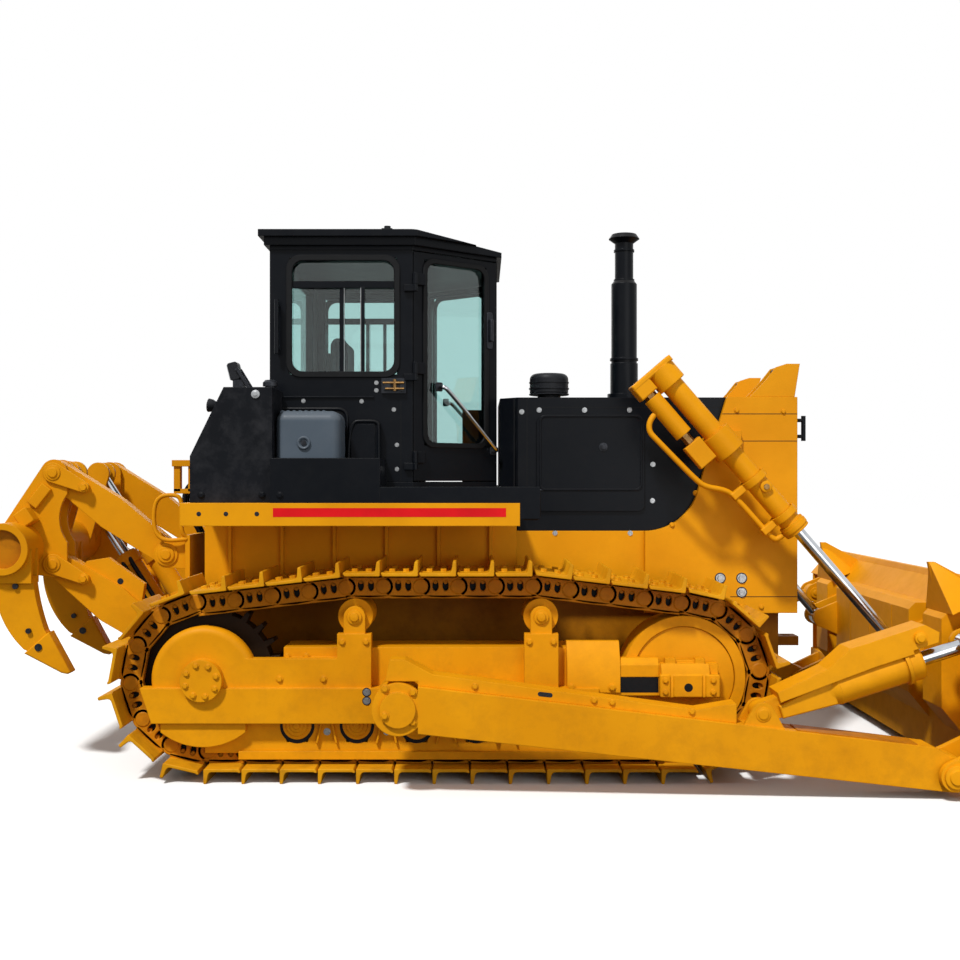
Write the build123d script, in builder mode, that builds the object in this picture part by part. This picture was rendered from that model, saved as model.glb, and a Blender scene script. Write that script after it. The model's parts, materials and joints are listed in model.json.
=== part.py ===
from build123d import *
import os
from math import atan2, cos, degrees, hypot, sin

# A crawler bulldozer with a straight-tilt blade and a three-shank ripper.
# X points forward, Y to the left, Z up; the ground under the tracks is Z = 0. Millimetres.

# Clearances
SEAT_GAP = 0.3
PIN_GAP = 0.3
PANEL_GAP = 6.0
CHAIN_GAP = 6.0

# Tracks
TRACK_Y = 1000.0
SPROCKET_X = -1595.0
IDLER_X = 1135.0
PITCH_RADIUS = 420.0
LINK_HALF = 68.0
SHOE_WIDTH = 560.0
SHOE_COUNT = 38
SHOE_PLATE = 18.0
SHOE_SLOT = 14.0
GROUSER = 66.0
GROUSER_ROOT = 40.0
GROUSER_TIP = 18.0
RAIL_INNER = 85.0
RAIL_WIDTH = 45.0
CARRIER_REAR_X = -741.0
CARRIER_FRONT_X = 317.0
CARRIER_RADIUS = 100.0
CARRIER_LIFT = 100.0
ROLLER_COUNT = 6
ROLLER_FIRST_X = -1070.0
ROLLER_STEP = 340.0
ROLLER_RADIUS = 100.0
ROLLER_SHAFT = 38.0
ROLLER_FLANGE = 16.0
FLANGE_HALF = 78.0
SPROCKET_TEETH = 25
SPROCKET_HALF = 60.0
TOOTH_HALF = 22.0
TOOTH_ROOT = 372.0
TOOTH_TIP = 428.0

# Track frames
FRAME_BEAM_WIDTH = 95.0
FRAME_BEAM_BOTTOM = 328.0
FRAME_BEAM_TOP = 526.0
FRAME_BEAM_REAR = -1947.0
FRAME_BEAM_FRONT = 640.0
BEAM_SLANT = 67.0
FRAME_BOX_REAR = -1150.0
FRAME_BOX_FRONT = 700.0
FRAME_BOX_TOP = 745.0
DOME_RADIUS = 300.0
DOME_DEPTH = 70.0
RECOIL_TOP = 690.0
CHIN_RADIUS = 382.0
CHIN_LENGTH = 480.0
ROLLER_GUARD = 20.0
GUARD_RAIL_BOTTOM = 146.0
GUARD_NOTCH_LOW = 60.0
GUARD_NOTCH_HIGH = 95.0
GUARD_NOTCH_DEPTH = 120.0
FINAL_CASE_RADIUS = 195.0
FINAL_SHAFT_RADIUS = 150.0
HUB_CAP_RADIUS = 118.0
HUB_CAP_DEPTH = 34.0
IDLER_SHAFT = 55.0
IDLER_DISH = 40.0
IDLER_RIM = 60.0
IDLER_BLOCK = 180.0
POST_WIDTH = 193.0
POST_NECK = 122.0
POST_DEPTH = 70.0
POST_SHOULDER = 830.0

# Push-arm trunnions
TRUNNION_X = -466.0
TRUNNION_Z = 480.0
ARM_CLEAR = 140.0
ARM_WIDTH = 200.0
BALL_RADIUS = 95.0
BALL_GAP = 0.5
BALL_NECK = 62.0
SOCKET_WALL = 45.0

# Hull and engine
HULL_HALF = 420.0
HULL_REAR = -1800.0
HULL_FRONT = 1850.0
HULL_BOTTOM = 430.0
HULL_TOP = 1050.0
HULL_CHAMFER = 120.0
DECK_HALF = 660.0
DECK_THICK = 40.0
EQUALIZER_X = 300.0
EQUALIZER_DEPTH = 190.0
HOOK_X = 2000.0
HOOK_Z = 640.0
HOOK_HALF = 70.0
HOOK_THICK = 60.0
HOOK_BORE = 32.0
ENGINE_REAR = 250.0
ENGINE_LENGTH = 1100.0
ENGINE_HALF = 350.0
ENGINE_HEIGHT = 850.0

# Hood and radiator guard
HOOD_REAR = 95.0
HOOD_HALF = 560.0
HOOD_SKIN = 25.0
HOOD_CORNER = 110.0
HOOD_TOP = 2211.0
HOOD_BOTTOM = 1386.0
HOOD_FRONT_LOW = 986.0
HOOD_FRONT_MID_X = 1321.0
HOOD_FRONT_MID_Z = 1669.0
HOOD_FRONT_TOP = 1491.0
PANEL_REAR = 321.0
PANEL_THICK = 15.0
PANEL_RISE = 120.0
PANEL_CORNER = 40.0
GUARD_HALF = 600.0
GUARD_SKIN = 60.0
GUARD_FRONT = 1923.0
GUARD_BOTTOM = 881.0
GUARD_FOOT_REAR = 1500.0
GUARD_FOOT = 80.0
GRILLE_HALF = 480.0
GRILLE_BOTTOM = 1080.0
GRILLE_TOP = 2100.0
CORE_REAR = 1620.0
CORE_DEPTH = 160.0
CORE_HALF = 500.0
CORE_TOP = 2100.0
GRILLE_BARS = 9
GRILLE_BAR = 40.0
EXHAUST_X = 928.0
EXHAUST_RADIUS = 85.0
EXHAUST_RING = 60.0
EXHAUST_STEP = 3000.0
TAILPIPE_RADIUS = 61.0
CAP_RADIUS = 102.0
EXHAUST_TOP = 3331.0
PRECLEANER_X = 429.0
PRECLEANER_RADIUS = 128.0
PRECLEANER_HEIGHT = 194.0
LAMP_Y = 515.0
LAMP_HALF = 65.0
LAMP_FIN = 16.0
LAMP_RISE = 205.0

# Fenders and what stands on them
FENDER_REAR = -1710.0
FENDER_FRONT = 194.0
FENDER_TOP = 1571.0
FENDER_EDGE = 129.0
FENDER_HALF = 1270.0
FENDER_PLATE = 20.0
FENDER_RIBS = 6
FENDER_RIB = 30.0
TANK_REAR = -1671.0
TANK_TOP = 2226.0
TANK_HALF = 1200.0
TANK_KNEE = 1835.0
TANK_BROW = -1480.0
TANK_CHEEK = 74.0
REAR_LAMP = 90.0
REAR_LAMP_Y = 1000.0
SIDE_BOX_FRONT = -590.0
SIDE_BOX_TOP = 1823.0
STEP_RISE = 90.0
STEP_NOSE = 112.0
OIL_TANK_LENGTH = 375.0
OIL_TANK_WIDTH = 290.0
OIL_TANK_TOP = 2096.0
OIL_TANK_ROUND = 60.0

# Cab
CAB_REAR = -1280.0
CAB_CORNER = -429.0
CAB_FRONT = 75.0
CAB_HALF = 850.0
CAB_FRONT_HALF = 450.0
CAB_WALL = 60.0
CAB_SILL = 1688.0
CAB_HEIGHT = 1379.0
ROOF_LIP = 25.0
ROOF_RISE = 88.0
ROOF_EDGE = 40.0
ROOF_OVERHANG = 60.0
ROOF_DROP = 60.0
REAR_WINDOW_HALF = 600.0
SIDE_WINDOW_REAR = -1163.0
SIDE_WINDOW_FRONT = -524.0
FRONT_WINDOW_HALF = 330.0
FRONT_WINDOW_RISE = 552.0
WINDOW_RISE = 640.0
WINDOW_DROP = 47.0
DOOR_RAIL = 85.0
DOOR_WINDOW_RISE = 219.0
DOOR_THICK = 50.0
GLASS = 6.0
HINGE_OUT = 25.0
HINGE_KNUCKLE = 16.0
HINGE_PIN = 8.0
HINGE_LUG = 40.0
HINGE_LENGTH = 70.0
HINGE_STRAP = 70.0
HINGE_RISES = (112.0, 642.0, 1172.0)
SEAT_REAR = -1000.0
SEAT_DEPTH = 480.0
SEAT_HALF = 260.0
SEAT_RISE = 292.0
SEAT_PAD = 120.0
SEAT_SHELL = 30.0
SEAT_BACK = 660.0
CONSOLE_DEPTH = 160.0
CONSOLE_HALF = 260.0
CONSOLE_RISE = 462.0
LEVER = 180.0
LEVER_RADIUS = 10.0
RAIL_STAND = 50.0
RAIL_ROD = 14.0
RAIL_RISE = 757.0
RAIL_LENGTH = 320.0
HANDLE_LOW = 1942.0
HANDLE_HIGH = 2097.0

# Blade
BLADE_MARGIN = 242.0
EDGE_X = 3010.0
EDGE_Z = 15.0
EDGE_LEAN = 25.0
EDGE_DEPTH = 105.0
MOLD_PLATE = 38.0
MOLD_SAG = 210.0
MOLD_MID_Z = 600.0
MOLD_TOP_BACK = 140.0
BLADE_TOP = 1132.0
BOX_DEPTH = 80.0
BOX_LOW = 60.0
BOX_LOW_TOP = 330.0
BOX_HIGH = 940.0
BACK_DEPTH = 202.0
BACK_HALF = 1250.0
BACK_LEDGE = 20.0
BACK_ROUND = 40.0
BACK_KNEE = 420.0
GUSSET_Y = 1090.0
GUSSET = 30.0
GUSSET_RISE = 270.0
GUSSET_TIP = 40.0
RIB_SPREAD = 390.0
RIB_INSET = 82.0
BLADE_RIB = 25.0
PUSH_PIN_X = 2477.0
PUSH_PIN_Z = 135.0
PUSH_PIN = 40.0
PUSH_EYE = 94.0
PUSH_PIN_GAP = 10.0
PUSH_EAR = 40.0
PUSH_EAR_GAP = 14.0
ARM_REAR = -360.0
ARM_REAR_LOW = 352.0
ARM_REAR_HIGH = 602.0
ARM_FRONT_HIGH = 280.0
SOCKET_CAP = 20.0
HOSE_GUARD = 70.0
GUARD_CAP = 115.0

# Lift cylinders
LIFT_Y = 850.0
LIFT_TRUNNION_X = 1410.0
LIFT_TRUNNION_Z = 1920.0
LIFT_EYE_X = 2460.0
LIFT_EYE_Z = 700.0
LIFT_BARREL = 65.0
LIFT_ROD = 35.0
LIFT_HEAD_REACH = 594.0
LIFT_GLAND_REACH = 687.0
LIFT_ROD_LENGTH = 1353.0
LIFT_FLANGE = 14.0
LIFT_COLLAR = 80.0
LIFT_EYE_HALF = 42.0
LIFT_EAR_GAP = 100.0
LIFT_EAR = 30.0
YOKE_PIN = 40.0

# Tilt cylinder and pitch brace
TILT_FOOT_X = 1478.0
TILT_FOOT_Z = 452.0
TILT_EYE_X = 2600.0
TILT_EYE_Z = 817.0
TILT_BARREL = 95.0
TILT_ROD = 40.0
TILT_PIN = 35.0
TILT_PIN_GAP = 4.0
TILT_EYE_PIN = 24.0
TILT_EYE_HALF = 45.0
TILT_EAR = 25.0
TILT_EAR_GAP = 70.0
FOOT_EAR_GAP = 56.0
TILT_BARREL_START = 430.0
TILT_GLAND = 900.0
TILT_ROD_INSIDE = 200.0
TILT_STROKE = 60.0
COVER_HALF = 100.0
COVER_LOW = 90.0
COVER_HIGH = 192.0
COVER_STEP = 397.0
COVER_BEND = 546.0
COVER_END = 1021.0

# Ripper
RIPPER_PIVOT_X = -1951.0
RIPPER_LOW_Z = 684.0
RIPPER_UP_Z = 1244.0
RIPPER_REACH_X = -690.0
RIPPER_REACH_Z = 501.0
RIPPER_ARM_Y = 550.0
RIPPER_ARM_WIDTH = 100.0
RIPPER_SIDE_GAP = 6.0
RIPPER_EAR = 24.0
RIPPER_PIN = 45.0
RIPPER_END = 75.0
TUBE_X = -2855.0
TUBE_Z = 1289.0
TUBE_RADIUS = 155.0
TUBE_HALF = 900.0
SHANK_Y = 800.0
SHANK_THICK = 75.0
RIPPER_CYL_Y = 300.0
RIPPER_BARREL = 68.0
RIPPER_ROD = 32.0
RIPPER_ROD_EYE = 40.0
RIPPER_ROD_LENGTH = 674.0
RIPPER_STROKE = 510.0
RIPPER_GLAND = 650.0
RIPPER_EYE_HALF = 50.0
RIPPER_PLATE = 30.0
RIPPER_ARM_WAIST = 120.0
RIPPER_LINK_WAIST = 105.0
RIPPER_TIE_REACH = 530.0
CHEEK_HOLLOW = 250.0
CHEEK_DEPTH = 43.0
STOP_START = 140.0
STOP_END = 560.0
STOP_RISE = 95.0
TUBE_WALL = 40.0
TUBE_MOUTH = 120.0
SHANK_WIDTH = 230.0
SHANK_TOP = 1125.0
SHANK_GRIP = 40.0
SHANK_DROP = 563.0
SHANK_SWEEP = 215.0

# Heights and places that follow from the sizes above
WHEEL_Z = PITCH_RADIUS + LINK_HALF + SHOE_PLATE + GROUSER
CAB_HEAD = CAB_SILL + CAB_HEIGHT
ROOF_EAVE = CAB_HEAD + ROOF_LIP
ROOF_TOP = ROOF_EAVE + ROOF_RISE
FRONT_WINDOW_SILL = CAB_SILL + FRONT_WINDOW_RISE
WINDOW_SILL = CAB_SILL + WINDOW_RISE
WINDOW_HEAD = CAB_HEAD - WINDOW_DROP
DOOR_WINDOW_SILL = CAB_SILL + DOOR_WINDOW_RISE
HINGE_HEIGHTS = [CAB_SILL + rise for rise in HINGE_RISES]
SEAT_BASE = CAB_SILL + SEAT_RISE
SEAT_BACK_TOP = SEAT_BASE + SEAT_BACK
CONSOLE_TOP = CAB_SILL + CONSOLE_RISE
RAIL_LOW = CAB_SILL + RAIL_RISE
RAIL_HIGH = RAIL_LOW + RAIL_LENGTH
ARM_Y = TRACK_Y + SHOE_WIDTH / 2 + ARM_CLEAR + ARM_WIDTH / 2
BLADE_HALF = ARM_Y + ARM_WIDTH / 2 + BLADE_MARGIN
BLADE_RIBS = (LIFT_Y - RIB_SPREAD, LIFT_Y + RIB_SPREAD, BLADE_HALF - RIB_INSET)
RAIL_TOP_Z = GROUSER + SHOE_PLATE + 2 * LINK_HALF
ROLLER_Z = RAIL_TOP_Z + ROLLER_RADIUS + SEAT_GAP
CARRIER_Z = WHEEL_Z + PITCH_RADIUS + CARRIER_LIFT - LINK_HALF - CARRIER_RADIUS
RAIL_OUT = RAIL_INNER + RAIL_WIDTH
FRAME_OUT = TRACK_Y + RAIL_OUT + CHAIN_GAP
FRAME_IN = TRACK_Y - RAIL_OUT - CHAIN_GAP
BEAM_OUT = FRAME_OUT + FRAME_BEAM_WIDTH
SOCKET_RADIUS = BALL_RADIUS + BALL_GAP
IDLER_RADIUS = PITCH_RADIUS - LINK_HALF - SEAT_GAP
FRAME_BOX_BOTTOM = ROLLER_Z + ROLLER_RADIUS + ROLLER_FLANGE + CHAIN_GAP
DOOR_RUN = hypot(CAB_FRONT - CAB_CORNER, CAB_HALF - CAB_FRONT_HALF)
DOOR_DX = (CAB_FRONT - CAB_CORNER) / DOOR_RUN
DOOR_DY = (CAB_HALF - CAB_FRONT_HALF) / DOOR_RUN
HINGE_X = CAB_CORNER + HINGE_OUT * DOOR_DY
HINGE_Y = CAB_HALF + HINGE_OUT * DOOR_DX


def block(x0, x1, y0, y1, z0, z1, mode=Mode.ADD):
    """Square block between pairs of X, Y and Z values."""
    with Locations(((x0 + x1) / 2, (y0 + y1) / 2, (z0 + z1) / 2)):
        Box(x1 - x0, y1 - y0, z1 - z0, mode=mode)


def side_plate(outline, y0, y1, mode=Mode.ADD):
    """Plate with a side-view outline of (x, z) corners, between two Y values."""
    with BuildSketch(Plane.XZ.offset(-y0)) as profile:
        with BuildLine():
            Polyline(*outline, close=True)
        make_face()
    extrude(profile.sketch, amount=y0 - y1, mode=mode)


def plan_prism(outline, z0, z1, mode=Mode.ADD):
    """Prism with a plan outline of (x, y) corners, between two heights."""
    with BuildSketch(Plane.XY.offset(z0)) as profile:
        with BuildLine():
            Polyline(*outline, close=True)
        make_face()
    extrude(profile.sketch, amount=z1 - z0, mode=mode)


def cross_rod(x, z, radius, y0, y1, mode=Mode.ADD):
    """Round bar along Y at (x, z), between two Y values."""
    with BuildSketch(Plane.XZ.offset(-y0)) as profile:
        with Locations((x, z)):
            Circle(radius)
    extrude(profile.sketch, amount=y0 - y1, mode=mode)


def link_plate(circles, y0, y1, mode=Mode.ADD):
    """Plate whose side view is the hull of circles (x, z, radius)."""
    with BuildSketch(Plane.XZ.offset(-y0)) as profile:
        for x, z, radius in circles:
            with Locations((x, z)):
                Circle(radius)
        make_hull()
    extrude(profile.sketch, amount=y0 - y1, mode=mode)


def strut(start, end, radius, mode=Mode.ADD):
    """Round bar from one point to another."""
    reach = Vector(*end) - Vector(*start)
    with BuildSketch(Plane(origin=start, z_dir=reach)) as profile:
        Circle(radius)
    extrude(profile.sketch, amount=reach.length, mode=mode)


def toward(start, end, distance):
    """Point at a distance from start on the line to end, in (x, z)."""
    length = hypot(end[0] - start[0], end[1] - start[1])
    share = distance / length
    return (start[0] + share * (end[0] - start[0]), start[1] + share * (end[1] - start[1]))


def belt(reach):
    """Circles whose hull runs at a distance outside the chain's pitch line."""
    carrier_pitch = CARRIER_RADIUS + LINK_HALF
    return [
        (SPROCKET_X, WHEEL_Z, PITCH_RADIUS + reach),
        (CARRIER_REAR_X, CARRIER_Z, carrier_pitch + reach),
        (CARRIER_FRONT_X, CARRIER_Z, carrier_pitch + reach),
        (IDLER_X, WHEEL_Z, PITCH_RADIUS + reach),
    ]


# Track: shoes with grousers on two chain rails, in one closed loop
with BuildSketch(Plane.XZ) as pitch_loop:
    for x, z, radius in belt(0):
        with Locations((x, z)):
            Circle(radius)
    make_hull()
pitch_line = pitch_loop.sketch.face().outer_wire()
SHOE_PITCH = pitch_line.length / SHOE_COUNT

with BuildPart() as track_right:
    with BuildSketch(Plane.XZ.offset(TRACK_Y + SHOE_WIDTH / 2)) as shoe_loop:
        for x, z, radius in belt(LINK_HALF + SHOE_PLATE / 2):
            with Locations((x, z)):
                Circle(radius)
        make_hull()
        half_shoe = (SHOE_PITCH - SHOE_SLOT) / 2
        for shoe in range(SHOE_COUNT):
            seat = pitch_line.position_at((shoe + 0.5) / SHOE_COUNT)
            along = pitch_line.tangent_at((shoe + 0.5) / SHOE_COUNT)
            turn = degrees(atan2(-along.Z, -along.X))
            with Locations(Location((seat.X, seat.Z, 0), (0, 0, turn))):
                Polygon(
                    (-half_shoe, LINK_HALF / 2),
                    (half_shoe, LINK_HALF / 2),
                    (half_shoe, LINK_HALF + SHOE_PLATE + GROUSER),
                    (half_shoe - GROUSER_TIP, LINK_HALF + SHOE_PLATE + GROUSER),
                    (half_shoe - GROUSER_ROOT, LINK_HALF + SHOE_PLATE),
                    (-half_shoe, LINK_HALF + SHOE_PLATE),
                    align=None,
                )
    extrude(amount=-SHOE_WIDTH)
    link_plate(belt(LINK_HALF), -TRACK_Y - SHOE_WIDTH / 2, -TRACK_Y + SHOE_WIDTH / 2, mode=Mode.SUBTRACT)
    for rail in (-RAIL_OUT, RAIL_INNER):
        link_plate(belt(LINK_HALF + SHOE_PLATE / 4), -TRACK_Y + rail, -TRACK_Y + rail + RAIL_WIDTH)
    link_plate(belt(-LINK_HALF), -TRACK_Y - RAIL_OUT, -TRACK_Y + RAIL_OUT, mode=Mode.SUBTRACT)

with BuildPart() as track_left:
    mirror(track_right.part, about=Plane.XZ)

# Sprockets: toothed wheels between the chain rails
with BuildPart() as sprockets:
    with BuildSketch(Plane.XZ.offset(TRACK_Y + SPROCKET_HALF)):
        with Locations((SPROCKET_X, WHEEL_Z)):
            Circle(TOOTH_ROOT)
            with PolarLocations(TOOTH_ROOT, SPROCKET_TEETH):
                Polygon(
                    (-TOOTH_HALF, -TOOTH_HALF),
                    (TOOTH_TIP - TOOTH_ROOT, -TOOTH_HALF / 2),
                    (TOOTH_TIP - TOOTH_ROOT, TOOTH_HALF / 2),
                    (-TOOTH_HALF, TOOTH_HALF),
                    align=None,
                )
            Circle(FINAL_SHAFT_RADIUS + SEAT_GAP, mode=Mode.SUBTRACT)
    extrude(amount=-2 * SPROCKET_HALF)
    mirror(about=Plane.XZ)

# Final drives: case on the hull's side and shaft through the sprocket
with BuildPart() as final_drives:
    cross_rod(SPROCKET_X, WHEEL_Z, FINAL_CASE_RADIUS, -TRACK_Y + SPROCKET_HALF, -HULL_HALF)
    cross_rod(SPROCKET_X, WHEEL_Z, FINAL_SHAFT_RADIUS, -FRAME_OUT, -HULL_HALF)
    mirror(about=Plane.XZ)

# Track rollers under the chain's lower run and carrier rollers under its upper run
with BuildPart() as track_rollers:
    for roller in range(ROLLER_COUNT):
        x = ROLLER_FIRST_X + roller * ROLLER_STEP
        cross_rod(x, ROLLER_Z, ROLLER_RADIUS, -TRACK_Y - RAIL_OUT, -TRACK_Y + RAIL_OUT)
        cross_rod(x, ROLLER_Z, ROLLER_RADIUS + ROLLER_FLANGE, -TRACK_Y - FLANGE_HALF, -TRACK_Y + FLANGE_HALF)
        cross_rod(x, ROLLER_Z, ROLLER_SHAFT, -FRAME_OUT, -FRAME_IN)
    for x in (CARRIER_REAR_X, CARRIER_FRONT_X):
        cross_rod(x, CARRIER_Z, CARRIER_RADIUS - SEAT_GAP, -TRACK_Y - RAIL_OUT, -TRACK_Y + RAIL_OUT)
        cross_rod(x, CARRIER_Z, ROLLER_SHAFT, -FRAME_OUT, -TRACK_Y)
    mirror(about=Plane.XZ)

# Front idlers: dished wheels that carry the chain's front bend
with BuildPart() as front_idlers:
    cross_rod(IDLER_X, WHEEL_Z, IDLER_RADIUS, -TRACK_Y - RAIL_OUT, -TRACK_Y + RAIL_OUT)
    for face_out in (-TRACK_Y - RAIL_OUT, -TRACK_Y + RAIL_OUT - IDLER_DISH):
        cross_rod(IDLER_X, WHEEL_Z, IDLER_RADIUS - IDLER_RIM, face_out, face_out + IDLER_DISH, mode=Mode.SUBTRACT)
    cross_rod(IDLER_X, WHEEL_Z, IDLER_SHAFT, -FRAME_OUT, -FRAME_IN)
    mirror(about=Plane.XZ)

# Track frame: outer beam with dome, posts and push-arm ball, main box and inner roller plate
with BuildPart() as track_frame_right:
    cross_rod(SPROCKET_X, WHEEL_Z, DOME_RADIUS, -FRAME_OUT - DOME_DEPTH, -FRAME_OUT)
    fillet(edges().group_by(Axis.Y)[0], DOME_DEPTH * 0.6)
    side_plate(
        [
            (SPROCKET_X, FRAME_BEAM_TOP),
            (SPROCKET_X, RECOIL_TOP),
            (CARRIER_REAR_X, RECOIL_TOP),
            (CARRIER_REAR_X, FRAME_BEAM_TOP),
        ],
        -FRAME_OUT - DOME_DEPTH,
        -FRAME_OUT,
    )
    cross_rod(SPROCKET_X, WHEEL_Z, HUB_CAP_RADIUS, -BEAM_OUT - HUB_CAP_DEPTH, -FRAME_OUT)
    side_plate(
        [
            (FRAME_BEAM_REAR, FRAME_BEAM_TOP),
            (FRAME_BEAM_REAR + BEAM_SLANT, FRAME_BEAM_BOTTOM),
            (FRAME_BEAM_FRONT, FRAME_BEAM_BOTTOM),
            (FRAME_BEAM_FRONT, FRAME_BEAM_TOP),
        ],
        -BEAM_OUT,
        -FRAME_OUT,
    )
    with BuildSketch(Plane.XZ.offset(FRAME_OUT)) as chin_guard:
        with Locations((SPROCKET_X, WHEEL_Z)):
            Circle(CHIN_RADIUS)
        with Locations((SPROCKET_X, FRAME_BEAM_BOTTOM)):
            Rectangle(CHIN_LENGTH, WHEEL_Z, align=(Align.CENTER, Align.MAX), mode=Mode.INTERSECT)
    extrude(amount=DOME_DEPTH)
    side_plate(
        [
            (SPROCKET_X, FRAME_BEAM_BOTTOM),
            (SPROCKET_X, GUARD_RAIL_BOTTOM),
            (FRAME_BEAM_FRONT, GUARD_RAIL_BOTTOM),
            (FRAME_BEAM_FRONT, FRAME_BEAM_BOTTOM),
        ],
        -FRAME_OUT - ROLLER_GUARD,
        -FRAME_OUT,
    )
    for roller in range(ROLLER_COUNT):
        x = ROLLER_FIRST_X + roller * ROLLER_STEP
        side_plate(
            [
                (x - GUARD_NOTCH_LOW, FRAME_BEAM_BOTTOM - GUARD_NOTCH_DEPTH),
                (x + GUARD_NOTCH_LOW, FRAME_BEAM_BOTTOM - GUARD_NOTCH_DEPTH),
                (x + GUARD_NOTCH_HIGH, FRAME_BEAM_BOTTOM),
                (x - GUARD_NOTCH_HIGH, FRAME_BEAM_BOTTOM),
            ],
            -FRAME_OUT - ROLLER_GUARD,
            -FRAME_OUT,
            mode=Mode.SUBTRACT,
        )
    block(FRAME_BOX_REAR, FRAME_BOX_FRONT, -FRAME_OUT, -FRAME_IN, FRAME_BOX_BOTTOM, FRAME_BOX_TOP)
    block(
        FRAME_BOX_REAR, FRAME_BOX_FRONT, -FRAME_IN, -FRAME_IN + ROLLER_GUARD,
        ROLLER_Z - ROLLER_SHAFT, FRAME_BOX_TOP,
    )
    for x in (CARRIER_REAR_X, CARRIER_FRONT_X):
        block(
            x - POST_WIDTH / 2, x + POST_WIDTH / 2, -FRAME_OUT - POST_DEPTH, -FRAME_OUT,
            FRAME_BEAM_TOP, POST_SHOULDER,
        )
        link_plate(
            [(x, CARRIER_Z, POST_NECK / 2), (x, POST_SHOULDER, POST_NECK / 2)],
            -FRAME_OUT - POST_DEPTH * 0.8,
            -FRAME_OUT,
        )
    for y0, y1 in ((-FRAME_OUT - DOME_DEPTH, -FRAME_OUT), (-FRAME_IN, -FRAME_IN + DOME_DEPTH)):
        block(
            FRAME_BOX_FRONT - IDLER_BLOCK, IDLER_X + IDLER_BLOCK, y0, y1,
            WHEEL_Z - IDLER_BLOCK / 2, WHEEL_Z + IDLER_BLOCK / 2,
        )
    cross_rod(TRUNNION_X, TRUNNION_Z, BALL_RADIUS + SOCKET_WALL, -BEAM_OUT - ROLLER_GUARD, -BEAM_OUT)
    cross_rod(TRUNNION_X, TRUNNION_Z, BALL_NECK, -ARM_Y, -BEAM_OUT)
    with Locations((TRUNNION_X, -ARM_Y, TRUNNION_Z)):
        Sphere(BALL_RADIUS)

with BuildPart() as track_frame_left:
    mirror(track_frame_right.part, about=Plane.XZ)

# Hull: main case, deck under the fenders, equalizer bar and front pull hook
with BuildPart() as hull_frame:
    side_plate(
        [
            (HULL_REAR, HULL_BOTTOM + HULL_CHAMFER),
            (HULL_REAR + HULL_CHAMFER, HULL_BOTTOM),
            (HULL_FRONT - HULL_CHAMFER, HULL_BOTTOM),
            (HULL_FRONT, HULL_BOTTOM + HULL_CHAMFER),
            (HULL_FRONT, HULL_TOP),
            (HULL_REAR, HULL_TOP),
        ],
        -HULL_HALF,
        HULL_HALF,
    )
    block(HULL_REAR, FENDER_FRONT, -DECK_HALF, DECK_HALF, HULL_TOP - DECK_THICK, HULL_TOP)
    block(
        EQUALIZER_X - EQUALIZER_DEPTH / 2, EQUALIZER_X + EQUALIZER_DEPTH / 2,
        -FRAME_IN + ROLLER_GUARD, FRAME_IN - ROLLER_GUARD,
        WHEEL_Z - EQUALIZER_DEPTH / 2, WHEEL_Z + EQUALIZER_DEPTH / 2,
    )
    block(
        HULL_FRONT, HOOK_X + HOOK_HALF, -HOOK_HALF, HOOK_HALF,
        HOOK_Z - HOOK_THICK / 2, HOOK_Z + HOOK_THICK / 2,
    )
    with Locations((HOOK_X, 0, HOOK_Z)):
        Cylinder(HOOK_BORE, HOOK_THICK, mode=Mode.SUBTRACT)

# Engine: one plain block on the hull
with BuildPart() as engine_block:
    block(
        ENGINE_REAR, ENGINE_REAR + ENGINE_LENGTH, -ENGINE_HALF, ENGINE_HALF,
        HULL_TOP, HULL_TOP + ENGINE_HEIGHT,
    )

# Hood: open-bottomed cover whose sides end in a curve in front
def hood_prism(y0, y1, mode=Mode.ADD):
    """The hood's side outline between two Y values."""
    with BuildSketch(Plane.XZ.offset(-y0)) as profile:
        with BuildLine():
            Polyline(
                (HOOD_FRONT_MID_X, HOOD_FRONT_MID_Z),
                (HOOD_FRONT_TOP, HOOD_TOP),
                (HOOD_REAR, HOOD_TOP),
                (HOOD_REAR, HOOD_BOTTOM),
                (HOOD_FRONT_LOW, HOOD_BOTTOM),
            )
            TangentArc(
                (HOOD_FRONT_LOW, HOOD_BOTTOM), (HOOD_FRONT_MID_X, HOOD_FRONT_MID_Z), tangent=(1, 0)
            )
        make_face()
    extrude(profile.sketch, amount=y0 - y1, mode=mode)


with BuildPart() as hood:
    hood_prism(-HOOD_HALF, HOOD_HALF)
    for side in (-1, 1):
        plan_prism(
            [
                (HOOD_REAR, side * (HOOD_HALF - HOOD_CORNER)),
                (HOOD_REAR + HOOD_CORNER, side * HOOD_HALF),
                (HOOD_REAR, side * HOOD_HALF),
            ],
            HOOD_BOTTOM, HOOD_TOP, mode=Mode.SUBTRACT,
        )
    room_half = HOOD_HALF - HOOD_SKIN
    room_rear = HOOD_REAR + HOOD_SKIN
    plan_prism(
        [
            (room_rear, -room_half + HOOD_CORNER),
            (room_rear, room_half - HOOD_CORNER),
            (room_rear + HOOD_CORNER, room_half),
            (HOOD_FRONT_TOP + HOOD_SKIN, room_half),
            (HOOD_FRONT_TOP + HOOD_SKIN, -room_half),
            (room_rear + HOOD_CORNER, -room_half),
        ],
        HOOD_BOTTOM, HOOD_TOP - HOOD_SKIN, mode=Mode.SUBTRACT,
    )

# Engine side panels: bolted covers on the hood's sides
with BuildPart() as engine_side_panels:
    block(
        PANEL_REAR, HOOD_FRONT_LOW, -HOOD_HALF - PANEL_THICK, -HOOD_HALF,
        HOOD_BOTTOM + PANEL_RISE, HOOD_TOP - PANEL_RISE,
    )
    fillet(edges().filter_by(Axis.Y), PANEL_CORNER)
    mirror(about=Plane.XZ)

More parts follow.
